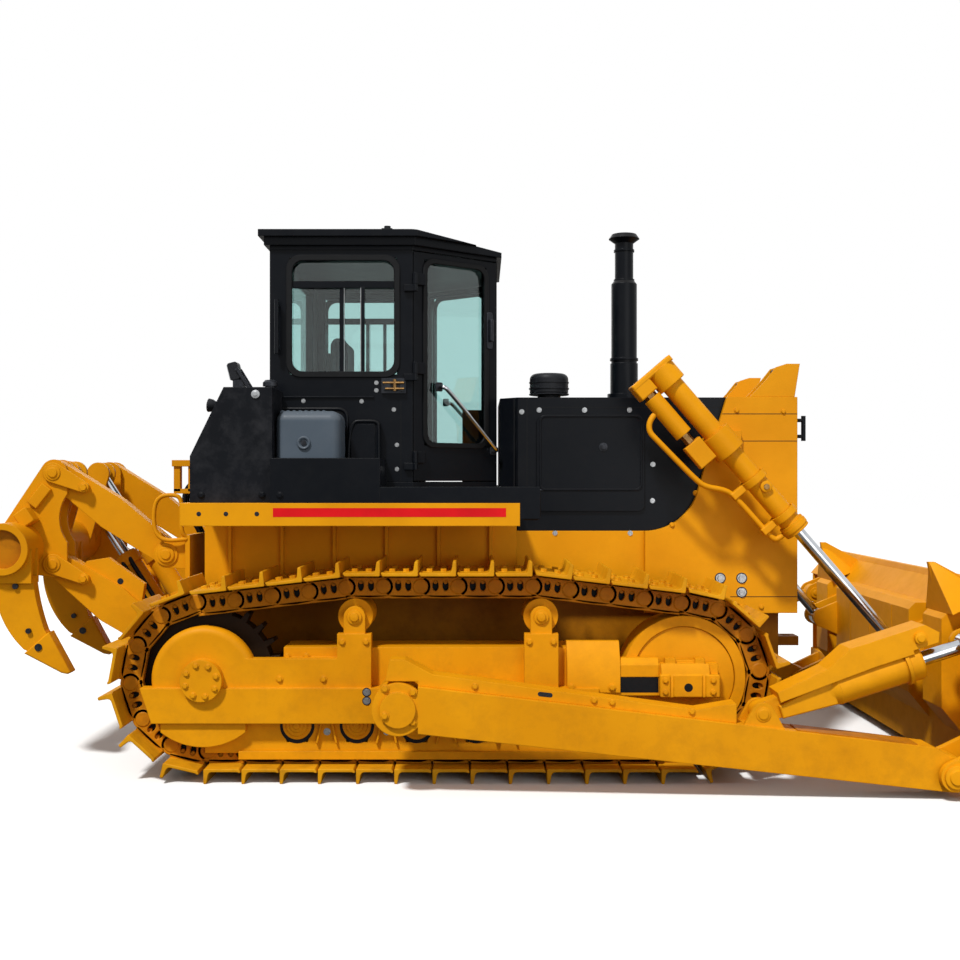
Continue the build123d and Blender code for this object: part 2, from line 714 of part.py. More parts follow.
# Lower side panels: yellow skirts below the hood, with a foot on the hull
with BuildPart() as lower_side_panels:
    block(FENDER_FRONT, HOOD_FRONT_LOW, -HOOD_HALF, -HOOD_HALF + HOOD_SKIN, HULL_TOP, HOOD_BOTTOM)
    block(FENDER_FRONT, HOOD_FRONT_LOW, -HOOD_HALF, -ENGINE_HALF - HOOD_SKIN, HULL_TOP, HULL_TOP + HOOD_SKIN)
    mirror(about=Plane.XZ)

# Radiator guard: thick side plates, top plate and front frame, open below
with BuildPart() as radiator_guard:
    block(HOOD_FRONT_LOW, GUARD_FRONT, -GUARD_HALF, GUARD_HALF, GUARD_BOTTOM, HOOD_TOP)
    block(
        HOOD_FRONT_LOW - GUARD_SKIN, GUARD_FRONT - GUARD_SKIN, -GUARD_HALF + GUARD_SKIN, GUARD_HALF - GUARD_SKIN,
        GUARD_BOTTOM, HOOD_TOP - GUARD_SKIN, mode=Mode.SUBTRACT,
    )
    block(
        GUARD_FRONT - GUARD_SKIN, GUARD_FRONT, -GRILLE_HALF, GRILLE_HALF,
        GRILLE_BOTTOM, GRILLE_TOP, mode=Mode.SUBTRACT,
    )
    hood_prism(-GUARD_HALF, GUARD_HALF, mode=Mode.SUBTRACT)
    for y0, y1 in ((-GUARD_HALF + GUARD_SKIN, -HULL_HALF), (HULL_HALF, GUARD_HALF - GUARD_SKIN)):
        block(GUARD_FOOT_REAR, HULL_FRONT, y0, y1, GUARD_BOTTOM, GUARD_BOTTOM + GUARD_FOOT)

# Radiator core behind the grille, standing on the hull
with BuildPart() as radiator_core:
    block(CORE_REAR, CORE_REAR + CORE_DEPTH, -CORE_HALF, CORE_HALF, HULL_TOP, CORE_TOP)

# Grille: upright bars with two cross bars, in the guard's front opening
with BuildPart() as radiator_grille:
    bar_step = 2 * GRILLE_HALF / GRILLE_BARS
    for bar in range(GRILLE_BARS):
        y = -GRILLE_HALF + (bar + 0.5) * bar_step
        block(
            GUARD_FRONT - GUARD_SKIN / 2, GUARD_FRONT - GUARD_SKIN / 6, y - GRILLE_BAR / 2, y + GRILLE_BAR / 2,
            GRILLE_BOTTOM, GRILLE_TOP,
        )
    for share in (0.25, 0.75):
        z = GRILLE_BOTTOM + share * (GRILLE_TOP - GRILLE_BOTTOM)
        block(
            GUARD_FRONT - GUARD_SKIN, GUARD_FRONT - GUARD_SKIN / 2, -GRILLE_HALF, GRILLE_HALF,
            z - GRILLE_BAR / 2, z + GRILLE_BAR / 2,
        )

# Exhaust stack: stepped pipe with a ring and a rain cap
with BuildPart() as exhaust_stack:
    with BuildSketch(Plane.XZ) as stack_profile:
        with BuildLine():
            Polyline(
                (EXHAUST_X, HOOD_TOP),
                (EXHAUST_X + EXHAUST_RADIUS * 1.3, HOOD_TOP),
                (EXHAUST_X + EXHAUST_RADIUS * 1.3, HOOD_TOP + EXHAUST_RING),
                (EXHAUST_X + EXHAUST_RADIUS, HOOD_TOP + EXHAUST_RING),
                (EXHAUST_X + EXHAUST_RADIUS, EXHAUST_STEP),
                (EXHAUST_X + TAILPIPE_RADIUS, EXHAUST_STEP + EXHAUST_RING / 2),
                (EXHAUST_X + TAILPIPE_RADIUS, EXHAUST_TOP - EXHAUST_RING),
                (EXHAUST_X + CAP_RADIUS, EXHAUST_TOP - EXHAUST_RING / 2),
                (EXHAUST_X + CAP_RADIUS * 0.8, EXHAUST_TOP),
                (EXHAUST_X, EXHAUST_TOP),
                close=True,
            )
        make_face()
    revolve(stack_profile.sketch, axis=Axis((EXHAUST_X, 0, 0), (0, 0, 1)))

# Air precleaner on the hood
with BuildPart() as air_precleaner:
    with Locations((PRECLEANER_X, 0, HOOD_TOP)):
        Cylinder(PRECLEANER_RADIUS * 0.6, PRECLEANER_HEIGHT / 2, align=(Align.CENTER, Align.CENTER, Align.MIN))
    with Locations((PRECLEANER_X, 0, HOOD_TOP + PRECLEANER_HEIGHT * 0.35)):
        Cylinder(PRECLEANER_RADIUS, PRECLEANER_HEIGHT * 0.65, align=(Align.CENTER, Align.CENTER, Align.MIN))
    fillet(edges().filter_by(GeomType.CIRCLE).sort_by(Axis.Z)[-1], PRECLEANER_RADIUS * 0.3)

# Lamp brackets: pairs of fins on the guard's top, and the lamps between them
with BuildPart() as lamp_brackets:
    for y in (LAMP_Y - LAMP_HALF - LAMP_FIN, LAMP_Y + LAMP_HALF):
        side_plate(
            [
                (GUARD_FRONT - 4.5 * LAMP_HALF, HOOD_TOP),
                (GUARD_FRONT - 3 * LAMP_HALF, HOOD_TOP + LAMP_RISE * 0.5),
                (GUARD_FRONT - 2 * LAMP_HALF, HOOD_TOP + LAMP_RISE * 0.9),
                (GUARD_FRONT - LAMP_HALF, HOOD_TOP + LAMP_RISE),
                (GUARD_FRONT + LAMP_FIN, HOOD_TOP + LAMP_RISE),
                (GUARD_FRONT - LAMP_FIN, HOOD_TOP),
            ],
            -y - LAMP_FIN,
            -y,
        )
    mirror(about=Plane.XZ)

with BuildPart() as head_lamps:
    block(
        GUARD_FRONT - 2 * LAMP_HALF, GUARD_FRONT - LAMP_FIN, -LAMP_Y - LAMP_HALF, -LAMP_Y + LAMP_HALF,
        HOOD_TOP + LAMP_RISE * 0.2, HOOD_TOP + LAMP_RISE * 0.85,
    )
    block(
        GUARD_FRONT - 2 * LAMP_HALF, GUARD_FRONT - LAMP_HALF, -LAMP_Y - LAMP_HALF / 2, -LAMP_Y + LAMP_HALF / 2,
        HOOD_TOP, HOOD_TOP + LAMP_RISE * 0.2,
    )
    mirror(about=Plane.XZ)

# Fenders: top plate with an outer edge, and a ribbed inner wall on the deck
with BuildPart() as fenders:
    block(FENDER_REAR, FENDER_FRONT, -FENDER_HALF, -HOOD_HALF, FENDER_TOP - FENDER_PLATE, FENDER_TOP)
    block(
        FENDER_REAR, FENDER_FRONT, -FENDER_HALF, -FENDER_HALF + FENDER_PLATE,
        FENDER_TOP - FENDER_EDGE, FENDER_TOP,
    )
    block(FENDER_REAR, FENDER_FRONT, -DECK_HALF, -DECK_HALF + FENDER_PLATE, HULL_TOP, FENDER_TOP)
    for rib in range(FENDER_RIBS):
        x = FENDER_REAR + (rib + 0.5) * (FENDER_FRONT - FENDER_REAR) / FENDER_RIBS
        block(
            x - FENDER_PLATE / 2, x + FENDER_PLATE / 2, -DECK_HALF - FENDER_RIB, -DECK_HALF,
            HULL_TOP, FENDER_TOP,
        )
    mirror(about=Plane.XZ)

# Fuel tank across the rear, with a sloped back and cheeks beside the cab
with BuildPart() as fuel_tank:
    side_plate(
        [
            (TANK_REAR, FENDER_TOP),
            (TANK_REAR, TANK_KNEE),
            (TANK_BROW, TANK_TOP),
            (CAB_REAR - PANEL_GAP, TANK_TOP),
            (CAB_REAR - PANEL_GAP, FENDER_TOP),
        ],
        -TANK_HALF,
        TANK_HALF,
    )
    for y0, y1 in ((-TANK_HALF, -CAB_HALF - PANEL_GAP), (CAB_HALF + PANEL_GAP, TANK_HALF)):
        block(CAB_REAR - PANEL_GAP, CAB_REAR + TANK_CHEEK, y0, y1, FENDER_TOP, TANK_TOP)

# Work lamps on stems at the tank's rear corners
with BuildPart() as rear_lamps:
    with Locations((TANK_BROW + REAR_LAMP, -REAR_LAMP_Y, TANK_TOP)):
        Cylinder(REAR_LAMP / 6, REAR_LAMP, align=(Align.CENTER, Align.CENTER, Align.MIN))
    block(
        TANK_BROW + REAR_LAMP / 2, TANK_BROW + 1.5 * REAR_LAMP, -REAR_LAMP_Y - REAR_LAMP / 2,
        -REAR_LAMP_Y + REAR_LAMP / 2, TANK_TOP + REAR_LAMP * 0.7, TANK_TOP + 1.7 * REAR_LAMP,
    )
    mirror(about=Plane.XZ)

# Side boxes and steps on the fenders
with BuildPart() as side_boxes:
    block(
        CAB_REAR + TANK_CHEEK, SIDE_BOX_FRONT, -FENDER_HALF, -CAB_HALF - PANEL_GAP,
        FENDER_TOP, SIDE_BOX_TOP,
    )
    mirror(about=Plane.XZ)

with BuildPart() as side_steps:
    block(SIDE_BOX_FRONT, FENDER_FRONT, -FENDER_HALF, -CAB_HALF - PANEL_GAP, FENDER_TOP, FENDER_TOP + STEP_RISE)
    block(
        FENDER_FRONT, FENDER_FRONT + STEP_NOSE, -FENDER_HALF, -FENDER_HALF + STEP_NOSE,
        FENDER_TOP - STEP_RISE, FENDER_TOP + STEP_RISE,
    )
    mirror(about=Plane.XZ)

# Hydraulic tank with rounded top edges, on the right side box
with BuildPart() as hydraulic_tank:
    block(
        CAB_REAR + TANK_CHEEK + PANEL_GAP, CAB_REAR + TANK_CHEEK + PANEL_GAP + OIL_TANK_LENGTH,
        -CAB_HALF - PANEL_GAP - OIL_TANK_WIDTH, -CAB_HALF - PANEL_GAP, SIDE_BOX_TOP, OIL_TANK_TOP,
    )
    fillet(edges().filter_by(Axis.Z) + edges().group_by(Axis.Z)[-1], OIL_TANK_ROUND)


def span(side, y0, y1):
    """Pair of Y values on the right (side -1) or left (side 1), in rising order."""
    return sorted((side * y0, side * y1))


def hexagon(reach):
    """Cab plan, grown outwards by a reach."""
    right = [
        (CAB_REAR - reach, -CAB_HALF - reach),
        (CAB_CORNER + reach / 2, -CAB_HALF - reach),
        (CAB_FRONT + reach, -CAB_FRONT_HALF - reach / 2),
    ]
    left = [(x, -y) for x, y in reversed(right)]
    return right + left


# Cab floor on the fenders, and roof with an overhanging edge
with BuildPart() as cab_floor:
    plan_prism(hexagon(0), FENDER_TOP, CAB_SILL)

with BuildPart() as cab_roof:
    plan_prism(hexagon(0), CAB_HEAD, ROOF_EAVE)
    plan_prism(hexagon(ROOF_OVERHANG / 2), ROOF_EAVE, ROOF_TOP - ROOF_EDGE)
    plan_prism(hexagon(ROOF_OVERHANG), ROOF_TOP - ROOF_EDGE, ROOF_TOP)
    roof_nose = CAB_FRONT + ROOF_OVERHANG
    side_plate(
        [
            (CAB_CORNER, ROOF_TOP),
            (roof_nose, ROOF_TOP - ROOF_DROP),
            (2 * roof_nose, ROOF_TOP - ROOF_DROP),
            (2 * roof_nose, 2 * ROOF_TOP),
            (CAB_CORNER, 2 * ROOF_TOP),
        ],
        -2 * CAB_HALF,
        2 * CAB_HALF,
        mode=Mode.SUBTRACT,
    )

# Cab walls between floor and roof, with window openings
with BuildPart() as cab_rear_wall:
    block(CAB_REAR, CAB_REAR + CAB_WALL, -CAB_HALF + CAB_WALL, CAB_HALF - CAB_WALL, CAB_SILL, CAB_HEAD)
    block(
        CAB_REAR, CAB_REAR + CAB_WALL, -REAR_WINDOW_HALF, REAR_WINDOW_HALF,
        WINDOW_SILL, WINDOW_HEAD, mode=Mode.SUBTRACT,
    )

with BuildPart() as cab_side_right:
    plan_prism(
        [
            (CAB_REAR, -CAB_HALF),
            (CAB_CORNER, -CAB_HALF),
            (CAB_CORNER - CAB_WALL * DOOR_DY / DOOR_DX, -CAB_HALF + CAB_WALL),
            (CAB_REAR, -CAB_HALF + CAB_WALL),
        ],
        CAB_SILL,
        CAB_HEAD,
    )
    block(
        SIDE_WINDOW_REAR, SIDE_WINDOW_FRONT, -CAB_HALF, -CAB_HALF + CAB_WALL,
        WINDOW_SILL, WINDOW_HEAD, mode=Mode.SUBTRACT,
    )
    for z in HINGE_HEIGHTS:
        with Locations((HINGE_X, -HINGE_Y, z)):
            Cylinder(HINGE_KNUCKLE, HINGE_LUG, align=(Align.CENTER, Align.CENTER, Align.MAX))
            Cylinder(HINGE_PIN, HINGE_LENGTH, align=(Align.CENTER, Align.CENTER, Align.MIN))
        block(CAB_CORNER - 2 * HINGE_OUT, HINGE_X, -HINGE_Y - HINGE_PIN, -CAB_HALF, z - HINGE_LUG, z)

with BuildPart() as cab_side_left:
    mirror(cab_side_right.part, about=Plane.XZ)

with BuildPart() as cab_front_wall:
    inner_half = CAB_FRONT_HALF - CAB_WALL * DOOR_DX / DOOR_DY
    plan_prism(
        [
            (CAB_FRONT, -CAB_FRONT_HALF),
            (CAB_FRONT, CAB_FRONT_HALF),
            (CAB_FRONT - CAB_WALL, inner_half),
            (CAB_FRONT - CAB_WALL, -inner_half),
        ],
        CAB_SILL,
        CAB_HEAD,
    )
    block(
        CAB_FRONT - CAB_WALL, CAB_FRONT, -FRONT_WINDOW_HALF, FRONT_WINDOW_HALF,
        FRONT_WINDOW_SILL, WINDOW_HEAD, mode=Mode.SUBTRACT,
    )

# Panes in the fixed windows
with BuildPart() as cab_glass:
    pane = CAB_WALL / 2 - GLASS / 2
    for side in (-1, 1):
        y0, y1 = span(side, CAB_HALF - pane - GLASS, CAB_HALF - pane)
        block(SIDE_WINDOW_REAR, SIDE_WINDOW_FRONT, y0, y1, WINDOW_SILL, WINDOW_HEAD)
    block(
        CAB_REAR + pane, CAB_REAR + pane + GLASS, -REAR_WINDOW_HALF, REAR_WINDOW_HALF,
        WINDOW_SILL, WINDOW_HEAD,
    )
    block(
        CAB_FRONT - pane - GLASS, CAB_FRONT - pane, -FRONT_WINDOW_HALF, FRONT_WINDOW_HALF,
        FRONT_WINDOW_SILL, WINDOW_HEAD,
    )

# Doors on the angled panels, hinged at the rear edge
door_plane = Plane(
    origin=(CAB_CORNER, -CAB_HALF, 0), x_dir=(DOOR_DX, DOOR_DY, 0), z_dir=(DOOR_DY, -DOOR_DX, 0)
)


def door_panel(edge, z0, z1, depth, thick, mode=Mode.ADD):
    """Rectangle on the door's plane, inset at both ends, sunk by a depth."""
    with BuildSketch(door_plane.offset(-depth)) as profile:
        with Locations((DOOR_RUN / 2, (z0 + z1) / 2)):
            Rectangle(DOOR_RUN - 2 * edge, z1 - z0)
    extrude(profile.sketch, amount=-thick, mode=mode)


with BuildPart() as door_right:
    door_panel(PANEL_GAP, CAB_SILL + PANEL_GAP, CAB_HEAD - PANEL_GAP, 0, DOOR_THICK)
    door_panel(DOOR_RAIL, DOOR_WINDOW_SILL, WINDOW_HEAD, 0, DOOR_THICK, mode=Mode.SUBTRACT)
    for z in HINGE_HEIGHTS:
        with BuildSketch(door_plane) as strap:
            with Locations((PANEL_GAP, z + SEAT_GAP)):
                Rectangle(HINGE_STRAP, HINGE_LENGTH - SEAT_GAP, align=(Align.MIN, Align.MIN))
        extrude(strap.sketch, amount=HINGE_OUT)
        with Locations((HINGE_X, -HINGE_Y, z + SEAT_GAP)):
            Cylinder(
                HINGE_KNUCKLE, HINGE_LENGTH - SEAT_GAP, align=(Align.CENTER, Align.CENTER, Align.MIN)
            )
            Cylinder(
                HINGE_PIN + PIN_GAP, HINGE_LENGTH, align=(Align.CENTER, Align.CENTER, Align.MIN),
                mode=Mode.SUBTRACT,
            )

with BuildPart() as door_left:
    mirror(door_right.part, about=Plane.XZ)

with BuildPart() as door_glass_right:
    door_panel(DOOR_RAIL, DOOR_WINDOW_SILL, WINDOW_HEAD, DOOR_THICK / 2 - GLASS / 2, GLASS)

with BuildPart() as door_glass_left:
    mirror(door_glass_right.part, about=Plane.XZ)

# Seat and controls
with BuildPart() as seat_frame:
    block(SEAT_REAR, SEAT_REAR + SEAT_DEPTH, -SEAT_HALF * 0.8, SEAT_HALF * 0.8, CAB_SILL, SEAT_BASE)
    block(SEAT_REAR - SEAT_SHELL, SEAT_REAR, -SEAT_HALF * 0.8, SEAT_HALF * 0.8, CAB_SILL, SEAT_BACK_TOP - SEAT_PAD)

with BuildPart() as seat_cushion:
    block(SEAT_REAR + SEAT_PAD, SEAT_REAR + SEAT_DEPTH + SEAT_SHELL, -SEAT_HALF, SEAT_HALF, SEAT_BASE, SEAT_BASE + SEAT_PAD)

with BuildPart() as seat_back:
    block(SEAT_REAR, SEAT_REAR + SEAT_PAD - PANEL_GAP, -SEAT_HALF, SEAT_HALF, SEAT_BASE + SEAT_SHELL, SEAT_BACK_TOP)

with BuildPart() as control_console:
    block(
        CAB_FRONT - CAB_WALL - CONSOLE_DEPTH, CAB_FRONT - CAB_WALL, -CONSOLE_HALF, CONSOLE_HALF,
        CAB_SILL, CONSOLE_TOP,
    )
    for side in (-1, 1):
        y0, y1 = span(side, SEAT_HALF + SEAT_SHELL, SEAT_HALF + SEAT_SHELL + CONSOLE_DEPTH)
        block(SEAT_REAR, SEAT_REAR + SEAT_DEPTH, y0, y1, CAB_SILL, SEAT_BASE + SEAT_PAD)
        strut(
            (SEAT_REAR + SEAT_DEPTH * 0.8, (y0 + y1) / 2, SEAT_BASE + SEAT_PAD),
            (SEAT_REAR + SEAT_DEPTH * 0.9, (y0 + y1) / 2, SEAT_BASE + SEAT_PAD + LEVER),
            LEVER_RADIUS,
        )

# Grab rails at the cab's rear corners and on the radiator guard
with BuildPart() as handrails:
    rail_x = CAB_REAR + RAIL_STAND
    strut(
        (rail_x, -CAB_HALF - RAIL_STAND, RAIL_LOW), (rail_x, -CAB_HALF - RAIL_STAND, RAIL_HIGH), RAIL_ROD
    )
    for z in (RAIL_LOW + 2 * RAIL_ROD, RAIL_HIGH - 2 * RAIL_ROD):
        strut((rail_x, -CAB_HALF - RAIL_STAND, z), (rail_x, -CAB_HALF, z), RAIL_ROD * 0.8)
    handle_y = -GUARD_HALF + RAIL_STAND
    strut(
        (GUARD_FRONT + RAIL_STAND, handle_y, HANDLE_LOW), (GUARD_FRONT + RAIL_STAND, handle_y, HANDLE_HIGH), RAIL_ROD
    )
    for z in (HANDLE_LOW + 2 * RAIL_ROD, HANDLE_HIGH - 2 * RAIL_ROD):
        strut((GUARD_FRONT, handle_y, z), (GUARD_FRONT + RAIL_STAND, handle_y, z), RAIL_ROD * 0.8)
    mirror(about=Plane.XZ)

# Blade: curved moldboard on box beams, with ears for arms, cylinders and brace
mold_foot = (EDGE_X - EDGE_LEAN, EDGE_Z + EDGE_DEPTH)
mold_mid = (EDGE_X - MOLD_SAG, MOLD_MID_Z)
mold_top = (EDGE_X - MOLD_TOP_BACK, BLADE_TOP)
foot_back = (mold_foot[0] - MOLD_PLATE, mold_foot[1] - MOLD_PLATE / 2)
blade_back = mold_mid[0] - MOLD_PLATE - BOX_DEPTH
back_plane = mold_mid[0] - MOLD_PLATE - BACK_DEPTH

with BuildPart() as blade:
    side_plate(
        [
            (blade_back, BOX_LOW),
            (EDGE_X, BOX_LOW + BOX_DEPTH),
            (EDGE_X, BOX_LOW_TOP + BOX_DEPTH),
            (blade_back, BOX_LOW_TOP),
        ],
        -BLADE_HALF,
        BLADE_HALF,
    )
    side_plate(
        [
            (blade_back, BOX_HIGH),
            (EDGE_X, BOX_HIGH),
            (EDGE_X, BLADE_TOP - MOLD_PLATE),
            (mold_top[0] - 1.5 * MOLD_PLATE, BLADE_TOP - MOLD_PLATE),
        ],
        -BLADE_HALF,
        BLADE_HALF,
    )
    ledge = BOX_HIGH + BACK_LEDGE
    pocket = LIFT_EAR_GAP + LIFT_EAR / 2
    back_face = [
        (back_plane, BACK_KNEE),
        (back_plane, ledge - BACK_ROUND),
        (back_plane + BACK_ROUND, ledge),
        (EDGE_X, ledge),
        (EDGE_X, BOX_LOW_TOP),
        (blade_back + BACK_LEDGE, BOX_LOW_TOP - BOX_DEPTH),
    ]
    side_plate(back_face, -LIFT_Y + pocket, LIFT_Y - pocket)
    gusset_face = [
        (back_plane + BACK_ROUND, ledge - BACK_LEDGE),
        (back_plane - BACK_LEDGE, ledge + GUSSET_RISE),
        (back_plane - BACK_LEDGE + GUSSET_TIP, ledge + GUSSET_RISE),
        (mold_top[0] - MOLD_PLATE, BLADE_TOP - MOLD_PLATE),
        (EDGE_X, ledge + BACK_ROUND),
        (EDGE_X, ledge - BACK_LEDGE),
    ]
    for side in (-1, 1):
        side_plate(back_face, *span(side, LIFT_Y + pocket, BACK_HALF))
        side_plate(gusset_face, *span(side, GUSSET_Y - GUSSET / 2, GUSSET_Y + GUSSET / 2))
    for y in BLADE_RIBS:
        for side in (-1, 1):
            y0, y1 = span(side, y, y + BLADE_RIB)
            block(blade_back, EDGE_X, y0, y1, BOX_LOW_TOP, BOX_HIGH)
    with BuildSketch(Plane.XZ.offset(BLADE_HALF + BOX_DEPTH)) as before_blade:
        with BuildLine():
            core_foot = (mold_foot[0] - MOLD_PLATE / 2, mold_foot[1] - MOLD_PLATE / 4)
            core_top = (mold_top[0] - MOLD_PLATE / 2, mold_top[1])
            ThreePointArc(core_foot, (mold_mid[0] - MOLD_PLATE / 2, mold_mid[1]), core_top)
            Line(core_top, (EDGE_X + BOX_DEPTH, core_top[1]))
            Line((EDGE_X + BOX_DEPTH, core_top[1]), (EDGE_X + BOX_DEPTH, core_foot[1]))
            Line((EDGE_X + BOX_DEPTH, core_foot[1]), core_foot)
        make_face()
    extrude(amount=-2 * (BLADE_HALF + BOX_DEPTH), mode=Mode.SUBTRACT)
    with BuildSketch(Plane.XZ.offset(BLADE_HALF)) as moldboard:
        with BuildLine():
            ThreePointArc(mold_foot, mold_mid, mold_top)
            Line(mold_top, (mold_top[0] - MOLD_PLATE, mold_top[1]))
            ThreePointArc(
                (mold_top[0] - MOLD_PLATE, mold_top[1]), (mold_mid[0] - MOLD_PLATE, mold_mid[1]), foot_back
            )
            Line(foot_back, mold_foot)
        make_face()
    extrude(amount=-2 * BLADE_HALF)
    ear_root = blade_back + BOX_DEPTH / 3
    ear_foot = BOX_DEPTH / 2
    plate_core = mold_mid[0] - MOLD_PLATE / 2
    for side in (-1, 1):
        ear_face = ARM_WIDTH / 2 + PUSH_EAR_GAP
        for inner in (ARM_Y - ear_face - PUSH_EAR, ARM_Y + ear_face):
            link_plate(
                [
                    (PUSH_PIN_X, PUSH_PIN_Z, 2 * PUSH_PIN),
                    (ear_root, BOX_LOW + ear_foot, ear_foot),
                    (ear_root, BOX_LOW_TOP - ear_foot, ear_foot),
                ],
                *span(side, inner, inner + PUSH_EAR),
            )
        reach = ear_face + PUSH_EAR
        cross_rod(PUSH_PIN_X, PUSH_PIN_Z, PUSH_PIN, *span(side, ARM_Y - reach, ARM_Y + reach))
        with Locations((PUSH_PIN_X, side * ARM_Y, PUSH_PIN_Z)):
            Sphere(PUSH_PIN + PUSH_PIN_GAP - BALL_GAP)
        for inner in (LIFT_Y - LIFT_EAR_GAP - LIFT_EAR, LIFT_Y + LIFT_EAR_GAP):
            link_plate(
                [
                    (LIFT_EYE_X, LIFT_EYE_Z, 2 * LIFT_ROD),
                    (plate_core, LIFT_EYE_Z - 2 * LIFT_EAR_GAP, MOLD_PLATE / 4),
                    (plate_core, LIFT_EYE_Z + 2 * LIFT_EAR_GAP, MOLD_PLATE / 4),
                ],
                *span(side, inner, inner + LIFT_EAR),
            )
        for inner in (ARM_Y - TILT_EAR_GAP - TILT_EAR, ARM_Y + TILT_EAR_GAP):
            link_plate(
                [
                    (TILT_EYE_X, TILT_EYE_Z, 2 * TILT_PIN),
                    (plate_core, TILT_EYE_Z - 4 * TILT_PIN, MOLD_PLATE / 4),
                    (plate_core, TILT_EYE_Z + 4 * TILT_PIN, MOLD_PLATE / 4),
                ],
                *span(side, inner, inner + TILT_EAR),
            )
        reach = TILT_EAR_GAP + TILT_EAR
        cross_rod(TILT_EYE_X, TILT_EYE_Z, TILT_EYE_PIN, *span(side, ARM_Y - reach, ARM_Y + reach))

# Cutting edge under the moldboard
with BuildPart() as cutting_edge:
    side_plate(
        [mold_foot, (EDGE_X, EDGE_Z), (EDGE_X - MOLD_PLATE, EDGE_Z), foot_back], -BLADE_HALF, BLADE_HALF
    )

# Push arm: tapered box from the trunnion socket to the blade pin, with the tilt foot's ears
ARM_OUT = ARM_Y + ARM_WIDTH / 2
ARM_IN = ARM_Y - ARM_WIDTH / 2
ARM_NOSE = PUSH_PIN_X - PUSH_EYE
ARM_SLOPE = (ARM_FRONT_HIGH - ARM_REAR_HIGH) / (ARM_NOSE - ARM_REAR)


def arm_top(x):
    """Height of the push arm's top face."""
    return ARM_REAR_HIGH + ARM_SLOPE * (x - ARM_REAR)


with BuildPart() as push_arm_right:
    side_plate(
        [
            (ARM_REAR, ARM_REAR_LOW),
            (ARM_REAR, ARM_REAR_HIGH),
            (ARM_NOSE, ARM_FRONT_HIGH),
            (PUSH_PIN_X, PUSH_PIN_Z + PUSH_EYE),
            (PUSH_PIN_X, PUSH_PIN_Z - PUSH_EYE),
        ],
        -ARM_OUT,
        -ARM_IN,
    )
    cross_rod(PUSH_PIN_X, PUSH_PIN_Z, PUSH_EYE, -ARM_OUT, -ARM_IN)
    cross_rod(TRUNNION_X, TRUNNION_Z, SOCKET_RADIUS + SOCKET_WALL, -ARM_OUT, -ARM_IN)
    cross_rod(TRUNNION_X, TRUNNION_Z, SOCKET_RADIUS, -ARM_OUT - SOCKET_CAP, -ARM_OUT)
    cross_rod(TRUNNION_X, TRUNNION_Z, SOCKET_RADIUS, -ARM_Y - SOCKET_RADIUS, -ARM_IN, mode=Mode.SUBTRACT)
    cross_rod(PUSH_PIN_X, PUSH_PIN_Z, PUSH_PIN + PUSH_PIN_GAP, -ARM_OUT, -ARM_IN, mode=Mode.SUBTRACT)
    for inner in (ARM_Y - FOOT_EAR_GAP - TILT_EAR, ARM_Y + FOOT_EAR_GAP):
        link_plate(
            [
                (TILT_FOOT_X, TILT_FOOT_Z, 1.8 * TILT_PIN),
                (TILT_FOOT_X - 3 * TILT_PIN, arm_top(TILT_FOOT_X) - 2 * TILT_PIN, TILT_PIN),
                (TILT_FOOT_X + 3 * TILT_PIN, arm_top(TILT_FOOT_X) - 2 * TILT_PIN, TILT_PIN),
            ],
            -inner - TILT_EAR,
            -inner,
        )
    foot_reach = FOOT_EAR_GAP + TILT_EAR
    cross_rod(TILT_FOOT_X, TILT_FOOT_Z, TILT_PIN, -ARM_Y - foot_reach, -ARM_Y + foot_reach)
    with Locations((TILT_FOOT_X, -ARM_Y, TILT_FOOT_Z)):
        Sphere(TILT_PIN + TILT_PIN_GAP - BALL_GAP)

with BuildPart() as push_arm_left:
    mirror(push_arm_right.part, about=Plane.XZ)

# Hose guard along the right arm's top
with BuildPart() as hose_guard:
    guard_end = TILT_FOOT_X - 4 * TILT_PIN
    guard_seat = TRUNNION_Z + SOCKET_RADIUS + SOCKET_WALL + PANEL_GAP
    side_plate(
        [
            (TRUNNION_X - GUARD_CAP * 0.6, guard_seat),
            (TRUNNION_X - GUARD_CAP * 0.4, guard_seat + GUARD_CAP),
            (TRUNNION_X + GUARD_CAP * 0.3, guard_seat + GUARD_CAP),
            (TRUNNION_X + GUARD_CAP * 1.6, arm_top(TRUNNION_X + GUARD_CAP * 1.6) + HOSE_GUARD),
            (guard_end - 3 * HOSE_GUARD, arm_top(guard_end) + HOSE_GUARD),
            (guard_end, arm_top(guard_end) + 1.5 * HOSE_GUARD),
            (guard_end, arm_top(guard_end)),
            (ARM_REAR, ARM_REAR_HIGH),
            (ARM_REAR, guard_seat),
        ],
        -ARM_Y - HOSE_GUARD,
        -ARM_Y + HOSE_GUARD,
    )

# Tilt cylinder on the right arm, and a fixed pitch brace of like form on the left
tilt_foot = (TILT_FOOT_X, TILT_FOOT_Z)
tilt_eye = (TILT_EYE_X, TILT_EYE_Z)
tilt_length = hypot(TILT_EYE_X - TILT_FOOT_X, TILT_EYE_Z - TILT_FOOT_Z)


def tilt_point(distance, side):
    """Point on the tilt cylinder's axis at a distance from its foot."""
    x, z = toward(tilt_foot, tilt_eye, distance)
    return (x, side * ARM_Y, z)


def tilt_foot_link(side, bore):
    """Forked foot: flat link with a bore, from the arm's pin to the barrel."""
    y0, y1 = span(side, ARM_Y - TILT_EYE_HALF, ARM_Y + TILT_EYE_HALF)
    x, z = toward(tilt_foot, tilt_eye, TILT_BARREL_START + TILT_BARREL / 2)
    link_plate([(*tilt_foot, 1.6 * TILT_PIN), (x, z, 1.6 * TILT_PIN)], y0, y1)
    cross_rod(*tilt_foot, bore, y0, y1, mode=Mode.SUBTRACT)


